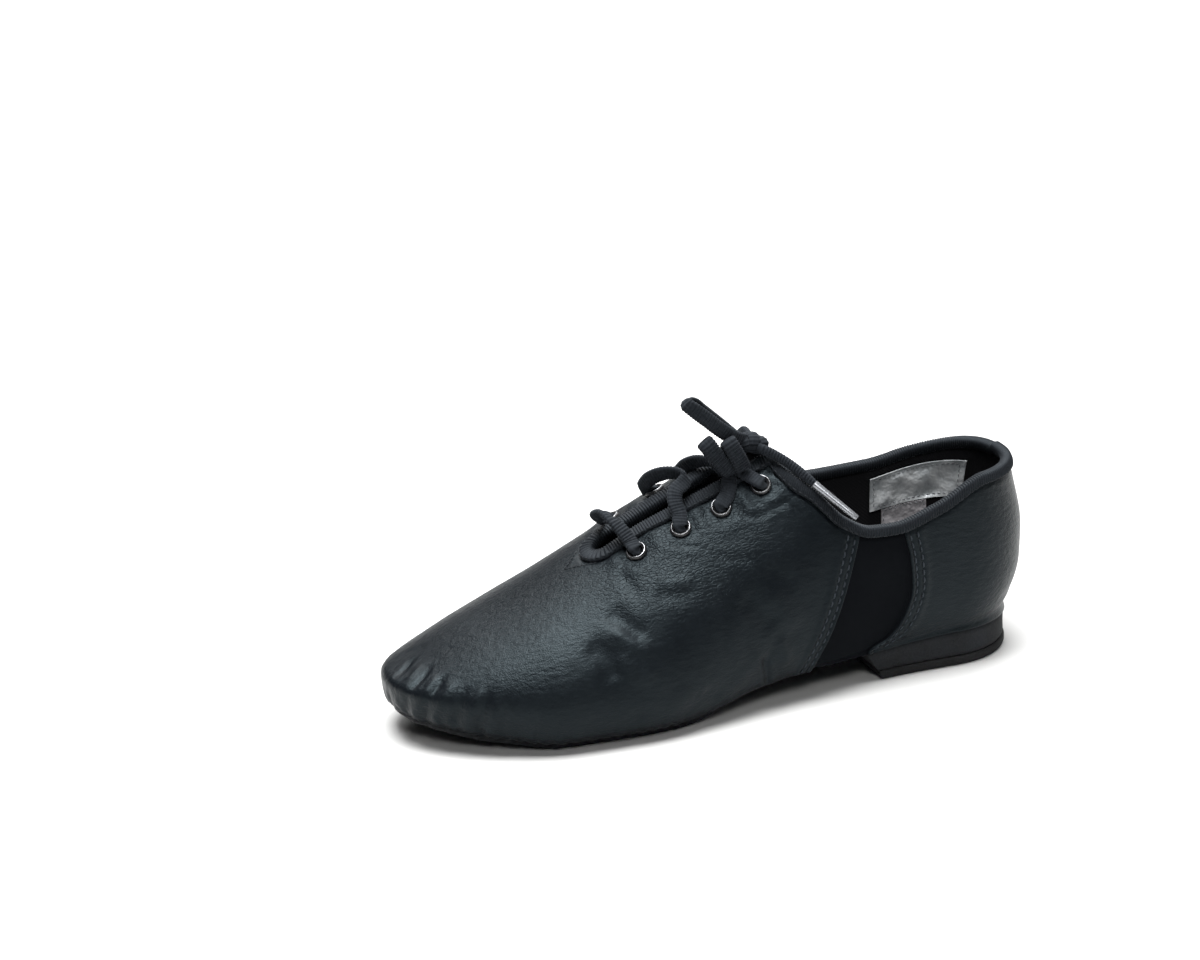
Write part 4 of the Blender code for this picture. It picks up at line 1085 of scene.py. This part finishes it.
def binding():
    """Ribbed tape folded over the edge of collar and throat, sewn through near its lower edge."""
    edge, normal = BARE[:, 0], BARE_NORMALS[:, 0]
    index = np.arange(len(edge))
    spacing = np.linalg.norm(BARE[:, 1] - edge, axis=1)
    depth = binding_depth()
    lines = []
    for share, lift in BINDING_PROFILE:
        row = depth * share / spacing
        lower = np.floor(row).astype(int)
        part = (row - lower)[:, None]
        p = BARE[index, lower] * (1 - part) + BARE[index, lower + 1] * part
        n = unit(BARE_NORMALS[index, lower] * (1 - part) + BARE_NORMALS[index, lower + 1] * part)
        lines.append((p, n, lift))
    up = unit(edge - BARE[:, UNDER_EDGE])
    middle = edge - normal * WALL / 2
    half = WALL / 2 + BINDING_OVER
    outer = [p + n * lift for p, n, lift in lines]
    top = [
        middle + (normal * math.cos(a) * half + up * math.sin(a) * BINDING_OVER)
        for a in np.radians(BINDING_TURN)
    ]
    inner = [p - n * (WALL + lift) for p, n, lift in lines[::-1]]
    p, n, _ = lines[0]
    hidden = [p - n * (WALL - 0.0001), middle + up * 0.0001, p + n * 0.00005]
    rows = np.stack(outer + top + inner + hidden, 1)
    flat = np.concatenate([rows, rows[:1]], 0)
    run = run_of(flat[:, len(outer)])
    count = int(run[-1] / BINDING_PITCH) * RIB_POINTS
    at = np.linspace(0, run[-1], count, endpoint=False)
    dense = np.stack([read_at(at, run, flat[:, k]) for k in range(flat.shape[1])], 1)
    across, along = (np.roll(dense, -1, k) - np.roll(dense, 1, k) for k in (1, 0))
    around = unit(np.cross(across, along))
    sign = np.sign(np.sum(around[:, 4] * (dense[:, 4] - dense.mean(1)), -1).mean())
    wave = BINDING_RIB * np.cos(math.tau * np.arange(count) / RIB_POINTS)
    fade = np.linspace(0.3, 1, 3)
    ribs = np.r_[fade, np.ones(len(outer + top + inner) - 6), fade[::-1], 0, 0, 0]
    dense = dense + around * sign * wave[:, None, None] * ribs[None, :, None]
    faces = grid_faces(count, dense.shape[1], around_rows=True, around_columns=True)
    uv = uv_grid(at, run_of(dense[0]))
    obj = mesh_piece("collar_binding", dense.reshape(-1, 3), faces, [RIBBED], uv=uv)
    piece(outward(obj), "binding_tape", "binding")
    p, n, _ = lines[2]
    route = p + n * BINDING_SEWN
    path = (np.vstack([route, route[:1]]), np.vstack([n, n[:1]]))
    piece(stitches("binding_stitches", [path], BINDING_STITCH, DARK_THREAD), "binding_tape")


def seam_stitches():
    """Two rows of stitches beside each seam of the stretch panels."""
    paths = []
    for seam, way in ((FRONT_SEAM_AT, 1), (REAR_SEAM_AT, -1)):
        for d in SEAM_ROWS:
            for turn in (90, 270):
                at = seam + way * d / LENGTH
                line = wall_lines(np.array([(at, turn, *seam_pulls(at))]))[0]
                p = read_line(line, np.linspace(BINDING_COLLAR + 0.0006, length_of(line) - 0.0012, 60))[0]
                n = surface_normal(p)
                base = creased(p + n * float(seam_relief(d)), n)
                paths.append((base + n * PANEL_SEWN, n))
    piece(stitches("panel_stitches", paths, PANEL_STITCH, THREAD), "upper_leather")


def lying_on(xy):
    """Points of the last's top over places in plan."""
    low, high = (np.full(len(xy), share * INSTEP) for share in (0.5, 1.5))
    height = bisected(lambda z: outside(np.column_stack([xy, z])) < 0, low, high, 24)
    return np.column_stack([xy, height])


def throat_stitches():
    """The small stitched triangle in front of the throat."""
    paths = []
    for a, b in zip(THROAT_TRIANGLE[:-1], THROAT_TRIANGLE[1:]):
        xy = np.array(a) + (np.array(b) - a) * np.linspace(0, 1, 24)[:, None]
        p = lying_on(xy * MM)
        n = surface_normal(p)
        paths.append((creased(p, n) + n * THROAT_SEWN, n))
    piece(stitches("throat_stitches", paths, THROAT_STITCH, DARK_THREAD), "upper_leather")


# Sole, heel and insole: edges as (share of the height from the top, how far the edge is drawn in)

HEEL_EDGE = (
    (0.0, 0.0009), (0.07, 0.0003), (0.2, 0.0), (0.5, 0.0001), (0.8, 0.0), (0.95, 0.0002), (1.0, 0.0007),
)
LIFT_EDGE = ((0.0, 0.0007), (0.12, 0.0002), (0.3, 0.0), (0.7, 0.0), (0.9, 0.0002), (1.0, 0.0006))
SOLE_EDGE = ((0.0, 0.0007), (0.0004, 0.0001), (0.0011, 0.0), (0.0018, 0.00015), (SOLE, 0.0008))  # by depth
HEEL_INSET = 0.0006
BEHIND_BREAST = 0.012  # the heel's rows start this share of the length behind its breast
SOLE_END = (0.01, 0.10)  # how far behind its last row the sole's end is rounded from, and over what length
INSOLE_RIM = (0.0004, 0.004)  # height and reach of its raised edge
INSOLE_GROOVE = (0.0003, 0.0042, 0.0008)  # depth, distance from the edge and half width


def foot_pairs(first, last, inset):
    """Matching points of the sole's outer and inner edge between two places along the shoe."""
    foot = BARE[:, -1].copy()
    foot[:, :2] += unit(inner_targets(foot) - foot[:, :2]) * inset
    count = len(foot)
    kept = []
    for i in range(count // 2 + 1):
        outer, inner = foot[i], foot[(count - i) % count]
        if first <= share_at(outer[1]) <= last and np.linalg.norm(outer - inner) > 0.0006:
            kept.append((outer, inner))
    return np.array([k[0] for k in kept]), np.array([k[1] for k in kept])


def across_rows(outer, inner, count=28):
    share = (1 - np.cos(np.linspace(0, math.pi, count + 1))) / 2
    return outer[:, None] + (inner - outer)[:, None] * share[None, :, None]


def level(grid, height):
    """A grid with its heights from numbers or from a function of the place along the shoe."""
    grid = grid.copy()
    grid[..., 2] = height(share_at(grid[..., 1])) if callable(height) else height
    return grid


def rim_loop(rows, columns):
    """Indices round the edge of a grid."""
    index = np.arange(rows * columns).reshape(rows, columns)
    return np.concatenate([index[0], index[1:-1, -1], index[-1, ::-1], index[-2:0:-1, 0]])


def layered(name, layers, materials, slots=None):
    """A closed solid between a top and a bottom grid, with the edge's own loops between them."""
    top, bottom = layers[0], layers[-1]
    rows, columns = top.shape[:2]
    size = rows * columns
    rim = rim_loop(rows, columns)
    points = [top.reshape(-1, 3), bottom.reshape(-1, 3)]
    loops = [rim]
    for k, extra in enumerate(layers[1:-1]):
        points.append(extra.reshape(-1, 3)[rim])
        loops.append(2 * size + k * len(rim) + np.arange(len(rim)))
    loops.append(rim + size)
    cover = grid_faces(rows, columns)
    sides = [np.stack([a, b, np.roll(b, -1), np.roll(a, -1)], -1) for a, b in zip(loops[:-1], loops[1:])]
    faces = np.vstack([cover, cover[:, ::-1] + size, *sides])
    numbers = None
    if slots:
        numbers = np.repeat(slots, (len(cover), len(cover), len(faces) - 2 * len(cover)))
    obj = mesh_piece(name, np.vstack(points), faces, materials, numbers, smooth_angle=38)
    bm = bmesh.new()
    bm.from_mesh(obj.data)
    bmesh.ops.recalc_face_normals(bm, faces=bm.faces)
    bm.to_mesh(obj.data)
    bm.free()
    return outward(obj)


def drawn_in(grid, amount):
    """A grid with its edge drawn towards the middle."""
    way = grid.mean(axis=(0, 1)) - grid
    way[..., 2] = 0
    return grid + unit(way) * amount


def rounded_end(outer, inner, at_end, length):
    """Edges drawn together towards the sole's rear end."""
    keep = rounded(1 - (share_at(outer[:, 1]) - at_end) / length, 2.4)[:, None]
    middle = (outer + inner) / 2
    return middle + (outer - middle) * keep, middle + (inner - middle) * keep


def outsole():
    outer, inner = foot_pairs(SOLE_BACK_AT, 1.0, SOLE_INSET)
    behind, length = SOLE_END
    grid = across_rows(*rounded_end(outer, inner, SOLE_BACK_AT - behind, length))
    layers = [
        level(drawn_in(grid, draw), lambda at, depth=depth: floor_line(at) - SEAT * 0.5 - depth)
        for depth, draw in SOLE_EDGE
    ]
    layers[-1] = level(layers[-1], lambda at: floor_line(at) - SEAT - SOLE)
    obj = layered("forefoot_sole", layers, [HEEL_RUBBER, SUEDE], (0, 1, 0))
    return piece(obj, "sole_rubber", "outsole_forefoot")


def insole():
    grid = across_rows(*foot_pairs(0.0, 1.0, INSOLE_PLAY - 0.0007))
    low = WALL + INSOLE_SEAT
    top = level(grid, lambda at: floor_line(at) + low + INSOLE)
    away = np.minimum(*(np.linalg.norm(grid - edge, axis=-1) for edge in (grid[:, :1], grid[:, -1:])))
    height, reach = INSOLE_RIM
    depth, middle, half = INSOLE_GROOVE
    top[..., 2] += height * np.exp(-((away / reach) ** 2))
    top[..., 2] -= depth * np.exp(-(((away - middle) / half) ** 2))
    side = level(drawn_in(grid, 0.0001), lambda at: floor_line(at) + low + INSOLE * 0.5)
    bottom = level(drawn_in(grid, 0.0009), lambda at: floor_line(at) + low)
    obj = layered("insole_sock", [drawn_in(top, 0.0005), side, bottom], [LINING])
    return piece(obj, "insole_cloth", "insole")


def heel_grid(breast, inset):
    """Rows from the breast back round the heel."""
    outer, inner = foot_pairs(0.0, BREAST_AT - BEHIND_BREAST, inset)
    front = np.array([outer[0], inner[0]])
    front[:, 1] = BACK - breast * LENGTH
    return across_rows(np.vstack([front[:1], outer]), np.vstack([front[1:], inner]))


def heel():
    """The heel block with its slanted breast, and the worn layer under it."""
    slant = BREAST_SLANT / LENGTH
    floor = HEEL_LIFT + SEAT * 0.4
    layers = []
    for share, draw in HEEL_EDGE:
        grid = drawn_in(heel_grid(BREAST_AT + slant * (1 - share), HEEL_INSET), draw)
        top = level(grid, lambda at: floor_line(at) - SEAT * 0.5)[..., 2]
        layers.append(level(grid, top + (floor - top) * share))
    piece(layered("heel_stack", layers, [HEEL_RUBBER]), "heel_rubber", "heel_block")
    slant *= HEEL_LIFT / HEEL_SEAT
    layers = []
    for share, draw in LIFT_EDGE:
        grid = heel_grid(BREAST_AT - slant * (0.3 + 0.7 * share), HEEL_INSET - LIFT_PROUD)
        layers.append(level(drawn_in(grid, draw), HEEL_LIFT * (1 - share)))
    piece(layered("heel_tip", layers, [TIP_RUBBER]), "heel_rubber", "heel_lift")


# Eyelets, laces and labels

def eyelets():
    """Enamelled eyelets with a bright ring on the flange's crest, partly worn to the metal and partly a
    painted highlight.
    """
    low = -(WALL + 0.0006)
    profile = (
        # distance from the axis, height over the leather
        (EYELET_BORE + 0.0001, -0.0008), (EYELET_BORE, 0.0003), (EYELET_BORE + 0.00015, 0.0006),
        (EYELET_BORE + 0.0004, 0.00082), (EYELET_BORE + 0.00075, 0.00092), (EYELET_BORE + 0.00085, 0.00112),
        (EYELET_BORE + 0.00105, 0.00118), (EYELET_BORE + 0.00120, 0.00110),
        (EYELET_RADIUS - 0.0003, 0.0008), (EYELET_RADIUS - 0.0001, 0.0005), (EYELET_RADIUS, 0.0001),
        (EYELET_RADIUS - 0.0002, -0.0005), (EYELET_BARREL, -0.0005), (EYELET_BARREL, low),
        (EYELET_BARREL + 0.0007, low), (EYELET_BARREL + 0.0006, low - 0.0004), (EYELET_BORE, low - 0.0005),
    )
    worn_glint_step = 6  # the profile's step at the crest, worn to the metal and carrying a painted highlight
    turns = 48
    faces = grid_faces(turns, len(profile), around_rows=True, around_columns=True)
    slots = np.arange(len(faces)) % len(profile) == worn_glint_step
    for k, (middle, normal) in enumerate(SEATS):
        ring, _ = ring_about(normal, (0, 1, 0), turns)
        points = np.stack([middle + ring * r + normal * z for r, z in profile], 1).reshape(-1, 3)
        row, number = ("outer", "inner")[k // 4], k % 4 + 1
        obj = mesh_piece(f"eyelet_ring_{row}_{number}", points, faces, [BLACK_METAL, WORN_GLINT_METAL], slots)
        piece(outward(obj), "eyelet_metal", f"eyelet_{row}_{number}")


# Each lace over the throat, in mm, from the outer eyelet to the inner one
CROSSINGS = (
    (
        (12.5, -129.7, 65.4), (9.5, -131.8, 69.2), (6.0, -134.2, 72.1),
        (1.0, -135.8, 72.8), (-4.0, -136.2, 70.4), (-8.4, -134.0, 67.6),
    ),
    (
        (15.0, -111.2, 73.4), (12.0, -111.5, 77.4), (9.6, -110.2, 80.4),
        (7.5, -106.4, 82.0), (5.0, -104.4, 83.2), (2.0, -106.2, 84.2),
        (-1.5, -110.4, 83.8), (-6.5, -114.2, 80.6), (-11.0, -115.2, 75.6),
    ),
    (
        (16.2, -92.9, 77.9), (13.5, -90.7, 81.6), (10.4, -89.8, 84.6), (7.6, -91.4, 86.6),
        (4.0, -94.4, 87.4), (-0.5, -97.4, 86.8), (-6.0, -100.0, 83.6), (-11.5, -100.2, 78.8),
    ),
    (
        (15.5, -82.9, 83.2), (12.5, -85.6, 85.0), (8.0, -87.4, 86.2),
        (1.0, -87.6, 86.4), (-7.0, -85.6, 85.0), (-13.0, -82.0, 82.6),
    ),
)
LACE_IN_EYELET = 0.0043  # its width there
EYELET_PASS = (-0.0036, -0.0006, 0.0020)  # heights over the leather that it passes on its way through
TURNED = (0.8, 1.25, 1.05, 0.2)  # how far each lace turns on edge over the throat, in radians
UNDER_RUNS = ((0, 5, 0.0040), (4, 1, 0.0066))  # first of the eyelets that a run joins, and how deep it lies


def crossings():
    """The laces over the throat, from one eyelet to the one across, and those under the facings."""
    count = 190
    share = np.linspace(0, 1, count)
    for k, points in enumerate(CROSSINGS):
        ends = []
        for middle, normal in (SEATS[k], SEATS[k + len(EYELETS_AT)]):
            ends.append([middle + normal * height for height in EYELET_PASS])
        route = smooth_route(ends[0] + [np.array(p) * MM for p in points] + ends[1][::-1], count)
        reach = np.minimum(share, 1 - share) * length_of(route)
        full = smooth((reach - 0.0020) / 0.0055)
        widths = LACE_IN_EYELET + (LACE_WIDTH - LACE_IN_EYELET) * full
        way = unit(np.gradient(route, axis=0))
        over = surface_side(route, way)
        turned = TURNED[k] * smooth((share - 0.30) / 0.22) * smooth((0.97 - share) / 0.15)
        side = over * np.cos(turned)[:, None] + np.cross(way, over) * np.sin(turned)[:, None]
        thick = LACE_THICK * (1.45 - 0.30 * full)
        obj = swept(f"lace_crossing_{k + 1}", route, widths, thick, side, rib=LOOSE_RIB)
        piece(obj, "lace_tape", f"lace_bar_{k + 1}")
    for number in range(len(EYELETS_AT) - 1):
        for first, second, drop in UNDER_RUNS:
            first, second = first + number, second + number
            (a, na), (b, nb) = SEATS[first], SEATS[second]
            middle = (a + b) / 2
            middle[2] = section(share_at(middle[1]))[4] - 0.0052 - drop * 0.5
            low, high = (a + middle) / 2 - na * 0.0030, (b + middle) / 2 - nb * 0.0030
            route = smooth_route([a - na * drop, low, middle, high, b - nb * drop], 110)
            side = unit(np.cross(unit(b - a), (0, 0, 1)))
            name = f"lace_under_{first + 1}_{second + 1}"
            piece(swept(name, route, LACE_WIDTH * 0.9, LACE_THICK * 0.8, side), "lace_tape")


def surface_side(route, way):
    """The way across a lace that lies flat on the shoe below it."""
    up = unit(np.stack([route[:, 0] * 1.1, 0 * route[:, 0], np.full(len(route), 0.022)], -1))
    return unit(np.cross(up, way))


# The bow: points in mm that each lace passes through
LOOP_LONG = (
    (9.6, -82.4, 95.2), (11.0, -85.9, 96.8), (11.9, -89.0, 98.8), (12.0, -93.8, 102.6),
    (11.6, -98.2, 106.6), (10.6, -102.4, 110.3), (9.0, -104.4, 112.2), (7.0, -103.0, 113.0),
    (6.0, -99.8, 112.1), (5.4, -95.6, 108.5), (5.4, -89.5, 102.8), (6.2, -84.6, 98.0),
    (7.6, -81.6, 95.6),
)
PETALS = (
    (9.5, -90.5, 84.9), (9.6, -94.4, 90.9), (10.2, -97.2, 95.4), (12.0, -99.3, 98.0), (14.4, -99.0, 97.8),
    (15.0, -95.8, 92.8), (14.0, -91.4, 87.4), (12.2, -88.4, 85.6), (11.2, -87.5, 90.0), (11.8, -89.3, 94.6),
    (13.4, -90.8, 97.4), (15.6, -90.9, 97.2), (16.2, -88.2, 92.0), (15.0, -85.5, 86.6),
)
# The way across the lace: in the loop before and after it turns, and in each petal
LOOP_SIDES = ((0, 0.666, 0.746), (1, 0, 0))
PETAL_SIDES = ((0, 0.82, 0.57), (0, 0.90, 0.44))
END_OUTER = (
    (13.4, -77.2, 92.4), (15.0, -74.2, 90.7), (17.4, -70.4, 88.1), (20.4, -67.0, 85.2), (23.2, -64.5, 82.6),
    (25.4, -62.3, 80.4),
)
END_INNER = (
    (2.4, -77.6, 93.6), (-4.4, -76.4, 93.9), (-9.4, -75.4, 92.2), (-14.0, -74.9, 89.2), (-17.6, -74.6, 85.5),
    (-20.2, -74.4, 81.8),
)
LOOP_THICK = 0.0017
PETAL_THICK = 0.0019
TAIL_PLAIN = 128  # points of an end before it narrows into its tip
KNOT_AT = (0.0085, -0.0796, 0.0937)
KNOT_TURNS = (
    # middle, two half axes of the turn, width
    ((0, -0.0002, 0.0004), (0.0034, 0, 0.0003), (0, 0.0005, 0.0028), 0.0046),
    ((0.0004, 0.0021, -0.0008), (0.0029, 0.0016, 0), (0.0004, 0.0009, 0.0023), 0.0042),
    ((-0.0002, -0.0022, 0.0004), (0.0029, -0.0014, 0), (-0.0003, -0.0009, 0.0024), 0.0040),
)
KNOT_THICK = 0.0021


def knot():
    """Turns of the lace drawn tight round each other."""
    parts = []
    a = math.tau * np.linspace(0, 1, 84)[:-1, None]
    for k, (shift, first, second, width) in enumerate(KNOT_TURNS):
        first, second = np.array(first), np.array(second)
        route = np.array(KNOT_AT) + np.array(shift) + np.cos(a) * first + np.sin(a) * second
        obj = swept(f"lace_knot_turn_{k + 1}", route, width, KNOT_THICK, unit(np.cross(first, second)))
        parts.append(piece(obj, "lace_tape", "lace_knot"))
    return parts


AGLET_PROFILE = (
    # distance along it, radius
    (0.0, 0.0011), (0.0002, 0.00145), (0.0008, 0.00150), (0.0030, 0.00140),
    (0.0160, 0.00120), (0.0192, 0.00115), (AGLET_LENGTH, 0.00100), (AGLET_LENGTH, 0.0004),
)


def aglet(name, route, node_name):
    """A lacquered tip in line with the end of a lace, a little flattened."""
    way = unit(route[-1] - route[-3])
    ring, angle = ring_about(way, (0, 0, 1), 24)
    ring = ring * (1 + 0.08 * np.cos(angle))[:, None]
    points = np.stack([route[-1] + way * z + ring * r for z, r in AGLET_PROFILE], 0).reshape(-1, 3)
    faces = tube_faces(len(AGLET_PROFILE), len(ring))
    obj = mesh_piece(name, points, faces, [AGLET_PLASTIC], smooth_angle=50)
    return piece(outward(obj), "aglet_plastic", node_name)


def bow():
    """The knot, the long loop, the two short petals and the two ends with their tips."""
    turns = knot()
    route = smooth_route(np.array(LOOP_LONG) * MM, 300)
    turn = math.pi / 2 * smooth((np.linspace(0, 1, 300) - 0.35) / 0.3)[:, None]
    side = np.array(LOOP_SIDES[0]) * np.cos(turn) + np.array(LOOP_SIDES[1]) * np.sin(turn)
    obj = swept("lace_long_loop", route, LACE_WIDTH, LOOP_THICK, side, rib=LOOSE_RIB)
    piece(obj, "lace_tape", "lace_loop_long")
    route = smooth_route(np.array(PETALS) * MM, 340)
    second = smooth((np.linspace(0, 1, 340) - 0.45) / 0.1)[:, None]
    side = np.array(PETAL_SIDES[0]) * (1 - second) + np.array(PETAL_SIDES[1]) * second
    obj = swept("lace_petals", route, LACE_WIDTH * 1.08, PETAL_THICK, side, rib=LOOSE_RIB)
    piece(obj, "lace_tape", "lace_loop_short")
    for name, points in (("outer", END_OUTER), ("inner", END_INNER)):
        start = np.array(KNOT_AT)
        points = tuple(np.array(points) * MM)
        whole = smooth_route((start, (start + points[0]) / 2) + points, 150)
        way = unit(whole[-1] - whole[-4])
        route = np.vstack([whole, whole[-1] + way[None] * np.linspace(0.0003, 0.004, 10)[:, None]])
        narrowed = np.r_[np.zeros(TAIL_PLAIN), smooth(np.linspace(0, 1, len(route) - TAIL_PLAIN))]
        widths = 2 * CORD_RADIUS * 0.95 * (1 - 0.35 * narrowed)
        obj = swept(f"lace_tail_{name}", route, widths, widths * 0.75, (0, 0.3, 1), rib=0.12, square=0.8)
        piece(obj, "lace_tape", f"lace_end_{name}")
        end = aglet(f"aglet_tip_{name}", whole, f"aglet_{name}")


def patch(front, rear, gap, count, rows):
    """Points on the inside of the inner wall at the heel, and the directions into the wall."""
    grid = []
    for at, low, high in np.linspace(front, rear, count):
        z = np.linspace(low, high, rows) * INSTEP
        y = np.full(rows, BACK - at * LENGTH)
        reach = bisected(
            lambda x: outside(np.stack([-x, y, z], -1)) < 0,
            np.zeros(rows), np.full(rows, BALL_WIDTH), 26,
        )
        grid.append(np.stack([-reach, y, z], -1))
    grid = np.array(grid)
    out = surface_normal(grid)
    return grid - out * gap, out


def cloth_tab(name, front, rear, node_name, face, wave):
    """A blank tab of satin with a sewn rim, a little wavy; front and rear are place, low and high edge."""
    count, rows = 70, 34
    size = count * rows
    grid, out = patch(front, rear, WALL + LABEL_PLAY + 0.0004, count, rows)
    u, v = np.meshgrid(np.linspace(0, 1, count), np.linspace(0, 1, rows), indexing="ij")
    rim = np.minimum(np.minimum(u, 1 - u) * 3, np.minimum(v, 1 - v) * 1.6)
    ripple = wave * (np.sin(7 * u + 2 * v) * np.sin(5 * v + 1.5) + 0.5 * np.sin(16 * u - 4 * v))
    ripple = ripple * smooth(rim / 0.35)
    hem = 0.00025 * (1 - smooth(rim / 0.18))
    top = grid - out * (ripple + hem + 0.00035)[..., None]
    bottom = grid - out * ripple[..., None]
    cover = grid_faces(count, rows)
    edge = rim_loop(count, rows)
    side = np.stack([edge, edge + size, np.roll(edge, -1) + size, np.roll(edge, -1)], -1)
    faces = np.vstack([cover, cover[:, ::-1] + size, side])
    points = np.vstack([top.reshape(-1, 3), bottom.reshape(-1, 3)])
    uv = np.tile(np.stack([u * 0.04, v * 0.014], -1).reshape(-1, 2), (2, 1))
    piece(outward(mesh_piece(name, points, faces, [face], uv=uv, smooth_angle=50)), "label_cloth", node_name)
    inset = ((3, 3), (count - 4, 3), (count - 4, rows - 4), (3, rows - 4), (3, 3))
    paths = []
    for (a, b), (c, d) in zip(inset[:-1], inset[1:]):
        steps = max(abs(c - a), abs(d - b)) + 1
        i, j = (np.linspace(*ends, steps).round().astype(int) for ends in ((a, c), (b, d)))
        paths.append((top[i, j] - out[i, j] * LABEL_SEWN, -out[i, j]))
    piece(stitches(f"{name}_stitches", paths, LABEL_STITCH, LABEL_THREAD), "label_cloth")


def labels():
    cloth_tab("label_tab", (0.176, 0.500, 0.655), (0.022, 0.540, 0.728), "label", LABEL, 0.00060)
    cloth_tab("lower_tab", (0.155, 0.400, 0.500), (0.075, 0.430, 0.520), "size_tag", TAG, 0.00015)


# Floor and light

def studio():
    """A pale floor, one wide light overhead, softer ones beside it and a dark surround."""
    made = material("pale_floor", (0.56, 0.56, 0.555), 0.9, Specular_IOR_Level=0.05)[0]
    half = 9.0
    corners = [(-half, -half, 0), (half, -half, 0), (half, half, 0), (-half, half, 0)]
    floor = mesh_piece("floor", corners, [(0, 1, 2, 3)], [made])
    floor.location.z = -0.0002
    for name, power, size, at, aim in (
        ("overhead", 92, (0.85, 1.3), (-0.05, -0.22, 1.9), (0, -0.08, 0)),
        ("far_floor", 140, (3.2, 3.2), (-2.3, 0.9, 2.2), (-1.5, 0.5, 0)),
        ("camera_side", 9, (0.5, 0.5), (1.3, -0.4, 1.35), (0, -0.05, 0.05)),
        ("heel_side", 1.2, (0.5, 0.7), (0.55, 1.25, 0.75), (0, 0, 0.03)),
    ):
        data = bpy.data.lights.new(name, "AREA")
        data.shape = "RECTANGLE"
        data.size, data.size_y = size
        data.energy = power
        light = bpy.data.objects.new(name, data)
        light.location = at
        light.rotation_euler = (Vector(at) - Vector(aim)).to_track_quat("Z", "Y").to_euler()
        bpy.context.scene.collection.objects.link(light)
    world = bpy.data.worlds.new("surround")
    world.use_nodes = True
    set_inputs(world.node_tree.nodes["Background"], Color=(0.92, 0.95, 1.0, 1), Strength=0.035)
    bpy.context.scene.world = world
    bpy.context.scene.view_settings.view_transform = "Standard"


camera()
bow()
crossings()
upper()
binding()
seam_stitches()
throat_stitches()
outsole()
insole()
heel()
eyelets()
labels()
studio()
